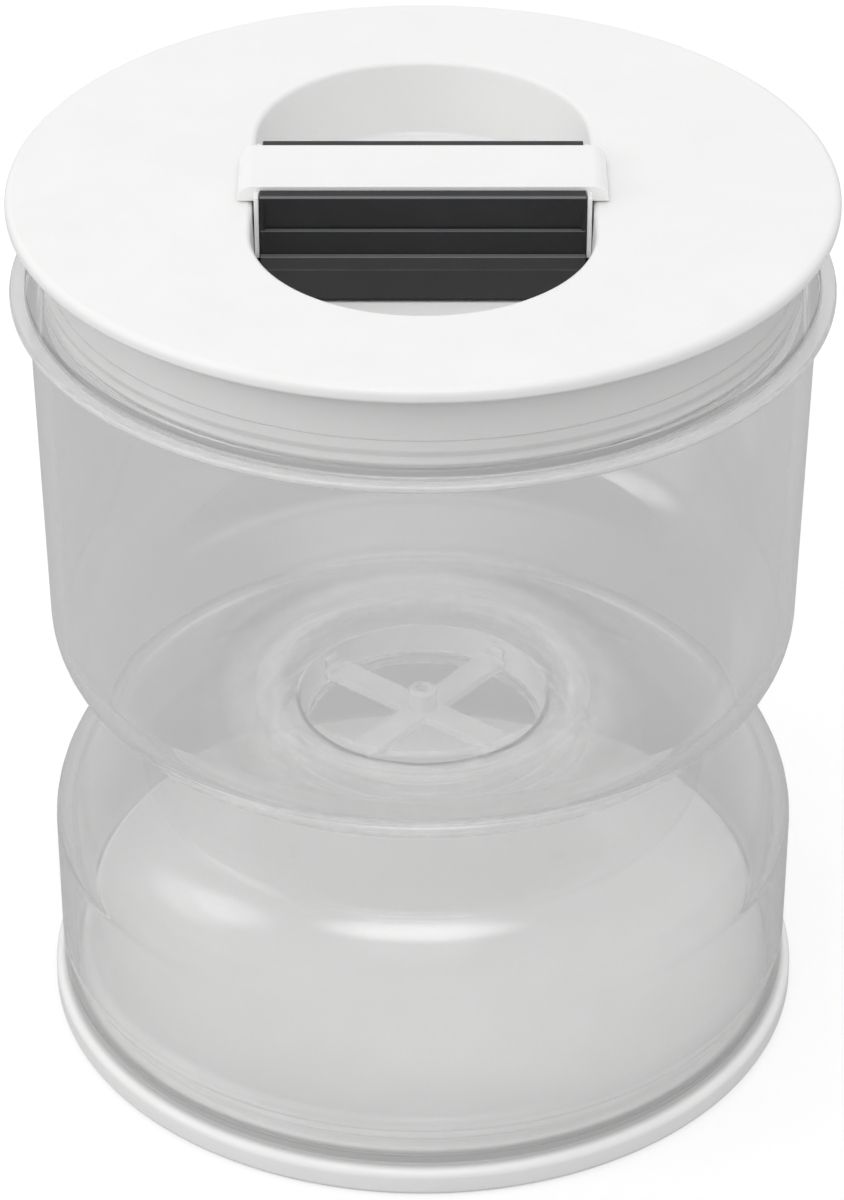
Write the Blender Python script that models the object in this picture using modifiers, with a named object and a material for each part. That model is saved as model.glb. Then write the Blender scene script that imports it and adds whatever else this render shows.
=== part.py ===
"""Hourglass jar with a strainer in its waist and a push-down sealing lid.

Units are metres, +Z is up, and the origin is the centre of the underside.
The front of the jar is -Y, and the grip bar of the lid runs along X.
"""

import math

import bmesh
import bpy
from mathutils import Matrix

# Build quality
TURN_STEPS = 40
ROUND_STEPS = 16
RECESS_SEGMENTS = 3
CHORD_ERROR = 0.00016
MERGE_DISTANCE = 0.00001
OVERRUN = 0.001
SHARP_ANGLE = math.radians(35)

# Fits
SEAT_GAP = 0.0003
SLIDE_GAP = 0.0004
SCREW_GAP = 0.0003

# Overall size, which every other radius follows
LID_RADIUS = 0.0600

# Clear walls of both chambers
WALL = 0.0022
WAIST_SLOPE = math.radians(10)
EDGE_ROUND = 0.0005

# Base cap
BASE_PROUD = 0.0013
BEAD_HEIGHT = 0.0044
BEAD_TOP_ROUND = 0.0013
BEAD_FOOT_ROUND = 0.0010
BASE_GROOVE_HEIGHT = 0.0017
BASE_GROOVE_DEPTH = 0.0022
PLUG_HEIGHT = 0.0059
PLUG_EDGE_ROUND = 0.0018
BASE_SHELL = 0.0020
PLUG_WALL = 0.0042
BASE_SEAL_HEIGHT = 0.0018
BASE_SEAL_THICKNESS = 0.0014
BASE_SEAL_UP = 0.0016

# Lower chamber
LOWER_INSET = 0.0027
LOWER_TAPER = 0.0002
LOWER_CORNER_HEIGHT = 0.0388
LOWER_CORNER_ROUND = 0.0170

# Neck between the chambers
NECK_SHARE = 0.37
SPIGOT_WALL = 0.0022
SPIGOT_LENGTH = 0.0089
THREAD_SPACE = 0.0013
NECK_WALL = 0.0025
NECK_DEPTH = 0.0076
COLLAR_HEIGHT = 0.0016
NECK_SEAL_THICKNESS = 0.0015
NECK_LIP_ROUND = 0.0025
LEDGE_WIDTH = 0.0024
LEDGE_THICKNESS = 0.0018

# Upper chamber
UPPER_TAPER = 0.0013
UPPER_CORNER_ROUND = 0.0130
UPPER_WALL_HEIGHT = 0.0637
FLANGE_WIDTH = 0.0024
FLANGE_THICKNESS = 0.0012
RIM_STEP = 0.0002
RIM_HEIGHT = 0.0125

# Strainer
STRAINER_RING_WIDTH = 0.0017
STRAINER_RING_HEIGHT = 0.0044
STRAINER_LIP_WIDTH = 0.0006
SPOKE_WIDTH = 0.0046
SPOKE_HEIGHT = 0.0014
SPOKE_UP = 0.0006
SPOKE_ANGLE = math.radians(51)
SPOKE_PAIRS = 2
HUB_RADIUS = 0.0022
HUB_BORE = 0.0011
HUB_HEIGHT = 0.0052
RIB_LENGTH = 0.0030
RIB_WIDTH = 0.0014
RIB_DROP = 0.0010

# Lid cover
LID_THICKNESS = 0.0022
LID_EDGE_ROUND = 0.0011
LID_UNDER_ROUND = 0.0006
SKIRT_WALL = 0.0020
SKIRT_HEIGHT = 0.0089
SKIRT_GAP = 0.0010
RECESS_WIDTH_SHARE = 0.405
RECESS_LENGTH_SHARE = 0.65
RECESS_DEPTH = 0.0120
RECESS_DRAFT = 0.0003
RECESS_LIP = 0.0005
RECESS_ROUND = 0.0012
RECESS_WALL = 0.0015
RECESS_FLOOR = 0.0020
BOSS_RADIUS = 0.0026
BOSS_OUT = 0.0087
BOSS_APART_SHARE = 0.2

# Seal band of the lid
BAND_HEIGHT = 0.0039
BAND_WIDTH = 0.0035
BAND_WAIST = 0.0006
BAND_EDGE = 0.0002

# Lid base
LID_BASE_PLATE = 0.0015
LID_BASE_SHELL = 0.0012
PAN_DEPTH = 0.0059
PAN_ROUND = 0.0010
PAN_GAP = 0.0012

# Plunger
HANDLE_TRAVEL = 0.0040
PLUNGER_PLATE = 0.0013
PLUNGER_WALL = 0.0014
PLUNGER_GAP = 0.0007
PLUNGER_RIM = 0.0015
PLUNGER_RIM_UP = 0.0064
PLUNGER_TAPER = 0.0008
PAD_RADIUS = 0.0034
PAD_DROP = 0.0015
BOSS_PASSAGE = 0.0008

# Screws
SCREW_RADIUS = 0.0012
SCREW_HEAD_RADIUS = 0.0026
SCREW_HEAD_HEIGHT = 0.0013
LID_SCREW_LENGTH = 0.0090

# Handle block
BLOCK_END_GAP = 0.0011
BLOCK_HALF_DEPTH = 0.0089
BLOCK_PROUD = 0.0022
CHANNEL_DEPTH = 0.00155
UPPER_STEP_DEPTH = 0.0033
LOWER_STEP_DEPTH = 0.0071
STEP_LEDGE = 0.0006
FLARE_HALF_DEPTH = 0.0141
FLARE_FOOT = 0.0004
CHEEK_THICKNESS = 0.00065
BLOCK_ROUND = 0.0004
BLOCK_END_CHAMFER = 0.0004
STEM_RADIUS = 0.0034
STEM_APART_SHARE = 0.2
STEM_SEAL_WIDTH = 0.0012
STEM_SEAL_HEIGHT = 0.0007

# Grip bar
BAR_OVERLAP = 0.0022
BAR_HALF_WIDTH = 0.0065
BAR_THICKNESS = 0.0016
BAR_END_ROUND = 0.0009
BAR_BEVEL = 0.0003
PEG_RADIUS = 0.0014
PEG_LENGTH = 0.0040
PEG_OUT = 0.0065

# Radii and half widths that follow the lid
FLANGE_RADIUS = LID_RADIUS
RIM_RADIUS = FLANGE_RADIUS - FLANGE_WIDTH
RIM_BORE = RIM_RADIUS - WALL
UPPER_TOP_RADIUS = RIM_RADIUS - RIM_STEP
UPPER_RADIUS = UPPER_TOP_RADIUS - UPPER_TAPER
LOWER_RADIUS = LID_RADIUS - LOWER_INSET
LOWER_FOOT_RADIUS = LOWER_RADIUS - LOWER_TAPER
BASE_RADIUS = LOWER_FOOT_RADIUS + BASE_PROUD
SPIGOT_RADIUS = LID_RADIUS * NECK_SHARE
SPIGOT_BORE = SPIGOT_RADIUS - SPIGOT_WALL
NECK_BORE = SPIGOT_RADIUS + THREAD_SPACE
COLLAR_RADIUS = NECK_BORE + NECK_WALL
SKIRT_RADIUS = RIM_BORE - SKIRT_GAP
BAND_RADIUS = RIM_BORE - SEAT_GAP
RECESS_HALF_WIDTH = LID_RADIUS * RECESS_WIDTH_SHARE
RECESS_HALF_LENGTH = LID_RADIUS * RECESS_LENGTH_SHARE
BOSS_X = RECESS_HALF_WIDTH + BOSS_OUT
BOSS_Y = LID_RADIUS * BOSS_APART_SHARE
PLUNGER_BORE = RECESS_HALF_LENGTH + RECESS_WALL + PLUNGER_GAP
PAN_BORE = PLUNGER_BORE + PLUNGER_WALL + PAN_GAP
BLOCK_HALF_WIDTH = RECESS_HALF_WIDTH - BLOCK_END_GAP
STEM_X = LID_RADIUS * STEM_APART_SHARE
PEG_X = STEM_X + PEG_OUT
BAR_HALF_LENGTH = RECESS_HALF_WIDTH + BAR_OVERLAP

# Heights of the stack, from the underside up
PLUG_FOOT_Z = BEAD_HEIGHT + BASE_GROOVE_HEIGHT
PLUG_TOP_Z = PLUG_FOOT_Z + PLUG_HEIGHT
LOWER_FOOT_Z = PLUG_FOOT_Z + SEAT_GAP
LOWER_CORNER_Z = LOWER_FOOT_Z + LOWER_CORNER_HEIGHT
COLLAR_FOOT_Z = LOWER_CORNER_Z + (LOWER_RADIUS - COLLAR_RADIUS) * math.tan(WAIST_SLOPE)
COLLAR_TOP_Z = COLLAR_FOOT_Z + COLLAR_HEIGHT
NECK_SEAL_Z = COLLAR_TOP_Z + SEAT_GAP
UPPER_SEAT_Z = NECK_SEAL_Z + NECK_SEAL_THICKNESS + SEAT_GAP
UPPER_CORNER_Z = UPPER_SEAT_Z + (UPPER_RADIUS - COLLAR_RADIUS) * math.tan(WAIST_SLOPE)
SPIGOT_FOOT_Z = UPPER_SEAT_Z - SPIGOT_LENGTH
LEDGE_TOP_Z = SPIGOT_FOOT_Z + LEDGE_THICKNESS
FLANGE_FOOT_Z = UPPER_CORNER_Z + UPPER_WALL_HEIGHT
FLANGE_TOP_Z = FLANGE_FOOT_Z + FLANGE_THICKNESS
RIM_TOP_Z = FLANGE_TOP_Z + RIM_HEIGHT
LID_UNDER_Z = RIM_TOP_Z + SEAT_GAP
LID_TOP_Z = LID_UNDER_Z + LID_THICKNESS
SKIRT_FOOT_Z = LID_UNDER_Z - SKIRT_HEIGHT
RECESS_FLOOR_Z = LID_TOP_Z - RECESS_DEPTH
CUP_FOOT_Z = RECESS_FLOOR_Z - RECESS_FLOOR
BAND_TOP_Z = SKIRT_FOOT_Z - SEAT_GAP
BAND_FOOT_Z = BAND_TOP_Z - BAND_HEIGHT
PLATE_TOP_Z = BAND_FOOT_Z - SEAT_GAP
PAN_FLOOR_Z = PLATE_TOP_Z - PAN_DEPTH
PLUNGER_TOP_Z = CUP_FOOT_Z - HANDLE_TRAVEL - SEAT_GAP
BLOCK_FOOT_Z = RECESS_FLOOR_Z + SEAT_GAP
CHANNEL_Z = LID_TOP_Z + BLOCK_PROUD - CHANNEL_DEPTH
BAR_FOOT_Z = CHANNEL_Z + SEAT_GAP
BAR_TOP_Z = BAR_FOOT_Z + BAR_THICKNESS

# Turns an outline drawn flat so that it is upright and thickened along X or along Y
ALONG_X = Matrix(((0, 0, 1, 0), (1, 0, 0, 0), (0, 1, 0, 0), (0, 0, 0, 1)))
ALONG_Y = Matrix(((1, 0, 0, 0), (0, 0, -1, 0), (0, 1, 0, 0), (0, 0, 0, 1)))

# Finishes: colour, roughness, metallic, alpha
CLEAR = ("clear_plastic", (0.86, 0.87, 0.87), 0.08, 0.0, 0.25)
WHITE = ("white_plastic", (0.88, 0.88, 0.87), 0.35, 0.0, 1.0)
DARK = ("dark_plastic", (0.045, 0.047, 0.05), 0.5, 0.0, 1.0)
SILICONE = ("silicone", (0.78, 0.79, 0.79), 0.6, 0.0, 1.0)
STEEL = ("screw_steel", (0.62, 0.62, 0.62), 0.3, 1.0, 1.0)


def clear_scene():
    for obj in list(bpy.data.objects):
        bpy.data.objects.remove(obj, do_unlink=True)


def new_collection(name):
    collection = bpy.data.collections.new(name)
    bpy.context.scene.collection.children.link(collection)
    return collection


def material(finish):
    name, colour, roughness, metallic, alpha = finish
    found = bpy.data.materials.get(name)
    if found:
        return found
    made = bpy.data.materials.new(name)
    made.use_nodes = True
    shader = made.node_tree.nodes["Principled BSDF"]
    shader.inputs["Base Color"].default_value = (*colour, 1.0)
    shader.inputs["Roughness"].default_value = roughness
    shader.inputs["Metallic"].default_value = metallic
    shader.inputs["Alpha"].default_value = alpha
    return made


def filleted(corners, closed=True):
    """Points of an outline whose corners are (across, up) or (across, up, round)."""
    points = []
    count = len(corners)
    for index, corner in enumerate(corners):
        at = complex(corner[0], corner[1])
        rounding = corner[2] if len(corner) > 2 else 0
        if not rounding or (not closed and index in (0, count - 1)):
            points.append(at)
            continue
        before = complex(*corners[index - 1][:2]) - at
        after = complex(*corners[(index + 1) % count][:2]) - at
        before /= abs(before)
        after /= abs(after)
        half = math.acos(max(-1.0, min(1.0, (before.conjugate() * after).real))) / 2
        centre = at + (before + after) / abs(before + after) * rounding / math.sin(half)
        start = at + before * rounding / math.tan(half) - centre
        sweep = math.pi - 2 * half
        turn = math.copysign(sweep, (before.conjugate() * after).imag * -1)
        steps = math.ceil(sweep / (2 * math.acos(1 - min(CHORD_ERROR / rounding, 1))))
        for step in range(steps + 1):
            angle = turn * step / steps
            points.append(centre + start * complex(math.cos(angle), math.sin(angle)))
    return [(point.real, point.imag) for point in points]


def settle(obj, parts, finish):
    """Keeps the evaluated mesh, shades it and puts it with the parts."""
    bpy.context.view_layer.update()
    graph = bpy.context.evaluated_depsgraph_get()
    mesh = bpy.data.meshes.new_from_object(obj.evaluated_get(graph))
    mesh.name = obj.name
    obj.modifiers.clear()
    obj.data = mesh
    mesh.materials.clear()
    mesh.materials.append(material(finish))
    mesh.shade_smooth()
    mesh.set_sharp_from_angle(angle=SHARP_ANGLE)
    for home in list(obj.users_collection):
        home.objects.unlink(obj)
    parts.objects.link(obj)
    return obj


def link_new(name, mesh):
    obj = bpy.data.objects.new(name, mesh)
    bpy.context.scene.collection.objects.link(obj)
    return obj


def from_bmesh(name, shape):
    bmesh.ops.recalc_face_normals(shape, faces=shape.faces)
    mesh = bpy.data.meshes.new(name)
    shape.to_mesh(mesh)
    shape.free()
    return link_new(name, mesh)


def turned(name, corners, on_axis=False, steps=TURN_STEPS):
    """A profile in the XZ plane, which runs down its outer side, turned about Z."""
    points = filleted(corners, closed=not on_axis)
    count = len(points)
    edges = [(index, index + 1) for index in range(count - 1)]
    if not on_axis:
        edges.append((count - 1, 0))
    mesh = bpy.data.meshes.new(name)
    mesh.from_pydata([(across, 0, up) for across, up in points], edges, [])
    obj = link_new(name, mesh)
    screw = obj.modifiers.new("turn", "SCREW")
    screw.axis = "Z"
    screw.steps = steps
    screw.render_steps = steps
    screw.use_merge_vertices = True
    screw.merge_threshold = MERGE_DISTANCE
    return obj


def rod(name, radius, low, high, across=0, along=0, steps=ROUND_STEPS):
    """An upright cylinder from low to high."""
    shape = bmesh.new()
    bmesh.ops.create_cone(
        shape, cap_ends=True, segments=steps, radius1=radius, radius2=radius, depth=high - low
    )
    bmesh.ops.translate(shape, verts=shape.verts, vec=(across, along, (low + high) / 2))
    return from_bmesh(name, shape)


def box(name, size, centre, turn=0):
    """A box of a size about a centre, then turned about Z."""
    shape = bmesh.new()
    bmesh.ops.create_cube(shape, size=1)
    bmesh.ops.scale(shape, verts=shape.verts, vec=size)
    bmesh.ops.translate(shape, verts=shape.verts, vec=centre)
    bmesh.ops.rotate(shape, verts=shape.verts, matrix=Matrix.Rotation(turn, 3, "Z"))
    return from_bmesh(name, shape)


def obround(name, half_width, half_length, low, high, draft=0, rounding=0):
    """An upright prism with straight sides along Y and round ends, narrower below by the draft."""
    shape = bmesh.new()
    bmesh.ops.create_cone(
        shape,
        cap_ends=True,
        segments=TURN_STEPS,
        radius1=half_width - draft,
        radius2=half_width,
        depth=high - low,
        matrix=Matrix.Translation((0, 0, (low + high) / 2))
        @ Matrix.Rotation(math.pi / TURN_STEPS, 4, "Z"),
    )
    if rounding:
        foot = [edge for edge in shape.edges if max(v.co.z for v in edge.verts) < low + draft]
        bmesh.ops.bevel(
            shape,
            geom=foot,
            offset=rounding,
            segments=RECESS_SEGMENTS,
            profile=0.5,
            affect="EDGES",
            material=-1,
        )
    for vert in shape.verts:
        vert.co.y += math.copysign(half_length - half_width, vert.co.y)
    return from_bmesh(name, shape)


def extruded(name, corners, half_depth, matrix):
    """An outline drawn in a plane and thickened both ways, placed by the matrix."""
    points = filleted(corners)
    curve = bpy.data.curves.new(name, "CURVE")
    curve.dimensions = "2D"
    curve.fill_mode = "BOTH"
    curve.extrude = half_depth
    spline = curve.splines.new("POLY")
    spline.points.add(len(points) - 1)
    spline.use_cyclic_u = True
    for place, (across, up) in zip(spline.points, points):
        place.co = (across, up, 0, 1)
    guide = link_new(name + "_outline", curve)
    bpy.context.view_layer.update()
    graph = bpy.context.evaluated_depsgraph_get()
    mesh = bpy.data.meshes.new_from_object(guide.evaluated_get(graph))
    bpy.data.objects.remove(guide)
    shape = bmesh.new()
    shape.from_mesh(mesh)
    bmesh.ops.remove_doubles(shape, verts=shape.verts, dist=MERGE_DISTANCE)
    bmesh.ops.transform(shape, verts=shape.verts, matrix=matrix)
    return from_bmesh(name, shape)


def combine(target, others, operation, helpers):
    """Joins or cuts the target by each helper, which goes with the other helpers."""
    for other in others:
        for home in list(other.users_collection):
            home.objects.unlink(other)
        helpers.objects.link(other)
        other.hide_render = True
        other.display_type = "WIRE"
        change = target.modifiers.new(other.name, "BOOLEAN")
        change.operation = operation
        change.solver = "EXACT"
        change.object = other
    return target


def bevelled(obj, width, segments=2):
    bevel = obj.modifiers.new("edge", "BEVEL")
    bevel.width = width
    bevel.segments = segments
    bevel.limit_method = "ANGLE"
    return obj


def corners_of_rectangle(half_x, half_y):
    return [(x * half_x, y * half_y) for x in (-1, 1) for y in (-1, 1)]


def base_cap(parts, helpers):
    """White cap that closes the foot of the lower chamber: bead, groove and plug."""
    bore = LOWER_FOOT_RADIUS - WALL
    plug = bore - SLIDE_GAP
    groove = BASE_RADIUS - BASE_GROOVE_DEPTH
    seal_foot = PLUG_FOOT_Z + BASE_SEAL_UP
    seal_bed = bore - SEAT_GAP - BASE_SEAL_THICKNESS - SEAT_GAP
    inner = plug - PLUG_WALL
    obj = turned(
        "base_cap",
        [
            (0, PLUG_TOP_Z),
            (plug, PLUG_TOP_Z, PLUG_EDGE_ROUND),
            (plug, seal_foot + BASE_SEAL_HEIGHT + 2 * SEAT_GAP),
            (seal_bed, seal_foot + BASE_SEAL_HEIGHT + 2 * SEAT_GAP),
            (seal_bed, seal_foot),
            (plug, seal_foot),
            (plug, PLUG_FOOT_Z),
            (groove, PLUG_FOOT_Z),
            (groove, BEAD_HEIGHT),
            (BASE_RADIUS, BEAD_HEIGHT, BEAD_TOP_ROUND),
            (BASE_RADIUS, 0, BEAD_FOOT_ROUND),
            (inner, 0),
            (inner, PLUG_TOP_Z - BASE_SHELL, EDGE_ROUND),
            (0, PLUG_TOP_Z - BASE_SHELL),
        ],
        on_axis=True,
    )
    return settle(obj, parts, WHITE)


def base_seal(parts, helpers):
    """Silicone ring in the groove of the plug."""
    outer = LOWER_FOOT_RADIUS - WALL - SEAT_GAP
    foot = PLUG_FOOT_Z + BASE_SEAL_UP + SEAT_GAP
    top = foot + BASE_SEAL_HEIGHT
    inner = outer - BASE_SEAL_THICKNESS
    obj = turned("base_seal", [(outer, top), (outer, foot), (inner, foot), (inner, top)])
    return settle(obj, parts, SILICONE)


def lower_jar(parts, helpers):
    """Clear lower chamber, open below, with a neck that takes the upper one."""
    slope = math.tan(WAIST_SLOPE)
    drop = WALL / math.cos(WAIST_SLOPE)
    inner_radius = LOWER_RADIUS - WALL
    inner_corner = LOWER_CORNER_Z - drop + WALL * slope
    collar_inside = COLLAR_FOOT_Z - drop
    foot = COLLAR_TOP_Z - NECK_DEPTH
    obj = turned(
        "lower_jar",
        [
            (COLLAR_RADIUS, COLLAR_TOP_Z, EDGE_ROUND),
            (COLLAR_RADIUS, COLLAR_FOOT_Z),
            (LOWER_RADIUS, LOWER_CORNER_Z, LOWER_CORNER_ROUND),
            (LOWER_FOOT_RADIUS, LOWER_FOOT_Z, EDGE_ROUND),
            (LOWER_FOOT_RADIUS - WALL, LOWER_FOOT_Z, EDGE_ROUND),
            (inner_radius, inner_corner, LOWER_CORNER_ROUND - WALL),
            (COLLAR_RADIUS, collar_inside),
            (COLLAR_RADIUS, foot, EDGE_ROUND),
            (NECK_BORE, foot, EDGE_ROUND),
            (NECK_BORE, COLLAR_TOP_Z, EDGE_ROUND),
        ],
    )
    return settle(obj, parts, CLEAR)


def neck_seal(parts, helpers):
    """Silicone washer between the two chambers."""
    outer = COLLAR_RADIUS
    inner = SPIGOT_RADIUS + SEAT_GAP
    top = NECK_SEAL_Z + NECK_SEAL_THICKNESS
    rounding = NECK_SEAL_THICKNESS / 3
    obj = turned(
        "neck_seal",
        [
            (outer, top, rounding),
            (outer, NECK_SEAL_Z, rounding),
            (inner, NECK_SEAL_Z),
            (inner, top),
        ],
    )
    return settle(obj, parts, SILICONE)


def upper_jar(parts, helpers):
    """Clear upper chamber: rim, flange, wall, funnel floor and spigot with its ledge."""
    slope = math.tan(WAIST_SLOPE)
    rise = WALL / math.cos(WAIST_SLOPE)
    inner_radius = UPPER_RADIUS - WALL
    inner_corner = UPPER_CORNER_Z + rise - WALL * slope
    lip = UPPER_SEAT_Z - (COLLAR_RADIUS - SPIGOT_BORE) * slope + rise
    ledge = SPIGOT_BORE - LEDGE_WIDTH
    obj = turned(
        "upper_jar",
        [
            (RIM_RADIUS, RIM_TOP_Z, EDGE_ROUND),
            (RIM_RADIUS, FLANGE_TOP_Z),
            (FLANGE_RADIUS, FLANGE_TOP_Z, EDGE_ROUND),
            (FLANGE_RADIUS, FLANGE_FOOT_Z, EDGE_ROUND),
            (UPPER_TOP_RADIUS, FLANGE_FOOT_Z),
            (UPPER_RADIUS, UPPER_CORNER_Z, UPPER_CORNER_ROUND),
            (COLLAR_RADIUS, UPPER_SEAT_Z),
            (SPIGOT_RADIUS, UPPER_SEAT_Z),
            (SPIGOT_RADIUS, SPIGOT_FOOT_Z, EDGE_ROUND),
            (ledge, SPIGOT_FOOT_Z, EDGE_ROUND),
            (ledge, LEDGE_TOP_Z, EDGE_ROUND),
            (SPIGOT_BORE, LEDGE_TOP_Z),
            (SPIGOT_BORE, lip, NECK_LIP_ROUND),
            (inner_radius, inner_corner, UPPER_CORNER_ROUND - WALL),
            (UPPER_TOP_RADIUS - WALL, FLANGE_FOOT_Z),
            (RIM_BORE, FLANGE_TOP_Z),
            (RIM_BORE, RIM_TOP_Z, EDGE_ROUND),
        ],
    )
    return settle(obj, parts, CLEAR)


def strainer(parts, helpers):
    """Clear drop-in cross: a ring tapered inside, crossing spokes, a hub and a rib at each end."""
    foot = LEDGE_TOP_Z + SEAT_GAP
    top = foot + STRAINER_RING_HEIGHT
    outer = SPIGOT_BORE - SLIDE_GAP
    inner = outer - STRAINER_RING_WIDTH
    middle = (outer + inner) / 2
    obj = turned(
        "strainer",
        [(outer, top), (outer, foot, EDGE_ROUND), (inner, foot), (outer - STRAINER_LIP_WIDTH, top)],
    )
    joined = [rod("strainer_hub", HUB_RADIUS, foot, foot + HUB_HEIGHT)]
    spoke_middle = foot + SPOKE_UP + SPOKE_HEIGHT / 2
    rib_top = top - RIB_DROP
    for pair in range(SPOKE_PAIRS):
        angle = SPOKE_ANGLE + math.pi * pair / SPOKE_PAIRS
        size = (2 * middle, SPOKE_WIDTH, SPOKE_HEIGHT)
        joined.append(box(f"strainer_spoke_{pair}", size, (0, 0, spoke_middle), angle))
        for side in (-1, 1):
            size = (RIB_WIDTH, RIB_LENGTH, rib_top - spoke_middle)
            centre = (side * middle, 0, (rib_top + spoke_middle) / 2)
            joined.append(box(f"strainer_rib_{pair}_{side}", size, centre, angle))
    combine(obj, joined, "UNION", helpers)
    bore = rod("strainer_hub_bore", HUB_BORE, foot - OVERRUN, foot + HUB_HEIGHT + OVERRUN)
    combine(obj, [bore], "DIFFERENCE", helpers)
    return settle(obj, parts, CLEAR)


def lid_cover(parts, helpers):
    """White disc with a plug skirt, the finger recess and the bosses for the lid screws."""
    obj = turned(
        "lid_cover",
        [
            (0, LID_TOP_Z),
            (LID_RADIUS, LID_TOP_Z, LID_EDGE_ROUND),
            (LID_RADIUS, LID_UNDER_Z, LID_UNDER_ROUND),
            (SKIRT_RADIUS, LID_UNDER_Z),
            (SKIRT_RADIUS, SKIRT_FOOT_Z, EDGE_ROUND),
            (SKIRT_RADIUS - SKIRT_WALL, SKIRT_FOOT_Z, EDGE_ROUND),
            (SKIRT_RADIUS - SKIRT_WALL, LID_UNDER_Z),
            (0, LID_UNDER_Z),
        ],
        on_axis=True,
    )
    root = LID_UNDER_Z + LID_THICKNESS / 2
    cup = obround(
        "lid_cup",
        RECESS_HALF_WIDTH + RECESS_WALL,
        RECESS_HALF_LENGTH + RECESS_WALL,
        CUP_FOOT_Z,
        root,
        RECESS_DRAFT,
    )
    bosses = []
    bores = []
    foot = PAN_FLOOR_Z + SEAT_GAP
    for index, (x, y) in enumerate(corners_of_rectangle(BOSS_X, BOSS_Y)):
        bosses.append(rod(f"lid_boss_{index}", BOSS_RADIUS, foot, root, x, y))
        depth = foot + LID_SCREW_LENGTH
        pilot = SCREW_RADIUS + SCREW_GAP
        bores.append(rod(f"lid_boss_bore_{index}", pilot, foot - OVERRUN, depth, x, y))
    combine(obj, [cup, *bosses], "UNION", helpers)
    recess = obround(
        "lid_recess",
        RECESS_HALF_WIDTH,
        RECESS_HALF_LENGTH,
        RECESS_FLOOR_Z,
        LID_TOP_Z + OVERRUN,
        RECESS_DRAFT,
        RECESS_ROUND,
    )
    lip = obround(
        "lid_recess_lip",
        RECESS_HALF_WIDTH + 2 * RECESS_LIP,
        RECESS_HALF_LENGTH + 2 * RECESS_LIP,
        LID_TOP_Z - 2 * RECESS_LIP,
        LID_TOP_Z + RECESS_LIP,
        3 * RECESS_LIP,
    )
    seal_bed = RECESS_FLOOR_Z - STEM_SEAL_HEIGHT - SEAT_GAP
    bed_radius = STEM_RADIUS + STEM_SEAL_WIDTH + 2 * SEAT_GAP
    passage = STEM_RADIUS + SEAT_GAP
    for side in (-1, 1):
        x = side * STEM_X
        bores.append(rod(f"lid_stem_hole_{side}", passage, CUP_FOOT_Z - OVERRUN, LID_TOP_Z, x))
        bores.append(rod(f"lid_seal_bed_{side}", bed_radius, seal_bed, LID_TOP_Z, x))
    combine(obj, [recess, lip, *bores], "DIFFERENCE", helpers)
    return settle(obj, parts, WHITE)


def seal_band(parts, helpers):
    """Silicone band with two lips, which the plunger spreads against the rim."""
    inner = BAND_RADIUS - BAND_WIDTH
    quarter = BAND_HEIGHT / 4
    obj = turned(
        "seal_band",
        [
            (BAND_RADIUS - BAND_EDGE, BAND_TOP_Z),
            (BAND_RADIUS, BAND_TOP_Z - quarter),
            (BAND_RADIUS - BAND_WAIST, BAND_TOP_Z - 2 * quarter),
            (BAND_RADIUS, BAND_FOOT_Z + quarter),
            (BAND_RADIUS - BAND_EDGE, BAND_FOOT_Z),
            (inner, BAND_FOOT_Z),
            (inner, BAND_TOP_Z),
        ],
    )
    return settle(obj, parts, SILICONE)


def lid_base(parts, helpers):
    """White pan that closes the lid from below and holds the seal band."""
    under = PAN_FLOOR_Z - LID_BASE_SHELL
    outer = PAN_BORE + LID_BASE_SHELL
    obj = turned(
        "lid_base",
        [
            (0, PAN_FLOOR_Z),
            (PAN_BORE, PAN_FLOOR_Z),
            (PAN_BORE, PLATE_TOP_Z),
            (SKIRT_RADIUS, PLATE_TOP_Z, EDGE_ROUND),
            (SKIRT_RADIUS, PLATE_TOP_Z - LID_BASE_PLATE, EDGE_ROUND),
            (outer, PLATE_TOP_Z - LID_BASE_PLATE),
            (outer, under, PAN_ROUND),
            (0, under),
        ],
        on_axis=True,
    )
    holes = []
    for index, (x, y) in enumerate(corners_of_rectangle(BOSS_X, BOSS_Y)):
        low = under - OVERRUN
        high = PAN_FLOOR_Z + OVERRUN
        holes.append(rod(f"lid_base_hole_{index}", SCREW_RADIUS + SCREW_GAP, low, high, x, y))
    combine(obj, holes, "DIFFERENCE", helpers)
    return settle(obj, parts, WHITE)


def plunger(parts, helpers):
    """White dish under the recess whose tapered rim spreads the seal band."""
    under = PLUNGER_TOP_Z - PLUNGER_PLATE
    wall = PLUNGER_BORE + PLUNGER_WALL
    rim = BAND_RADIUS - BAND_WIDTH - SLIDE_GAP
    rim_top = PLUNGER_TOP_Z + PLUNGER_RIM_UP
    obj = turned(
        "plunger",
        [
            (0, PLUNGER_TOP_Z),
            (PLUNGER_BORE, PLUNGER_TOP_Z),
            (PLUNGER_BORE, rim_top),
            (rim, rim_top, EDGE_ROUND),
            (rim - PLUNGER_TAPER, rim_top - PLUNGER_RIM),
            (wall, rim_top - PLUNGER_RIM),
            (wall, under),
            (0, under),
        ],
        on_axis=True,
    )
    pads = []
    holes = []
    for side in (-1, 1):
        x = side * STEM_X
        pads.append(rod(f"plunger_pad_{side}", PAD_RADIUS, under - PAD_DROP, PLUNGER_TOP_Z, x))
        low = under - PAD_DROP - OVERRUN
        high = PLUNGER_TOP_Z + OVERRUN
        holes.append(rod(f"plunger_bore_{side}", SCREW_RADIUS + SCREW_GAP, low, high, x))
    for index, (x, y) in enumerate(corners_of_rectangle(BOSS_X, BOSS_Y)):
        low = under - OVERRUN
        high = PLUNGER_TOP_Z + OVERRUN
        holes.append(rod(f"plunger_passage_{index}", BOSS_RADIUS + BOSS_PASSAGE, low, high, x, y))
    combine(obj, pads, "UNION", helpers)
    combine(obj, holes, "DIFFERENCE", helpers)
    return settle(obj, parts, WHITE)


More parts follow.
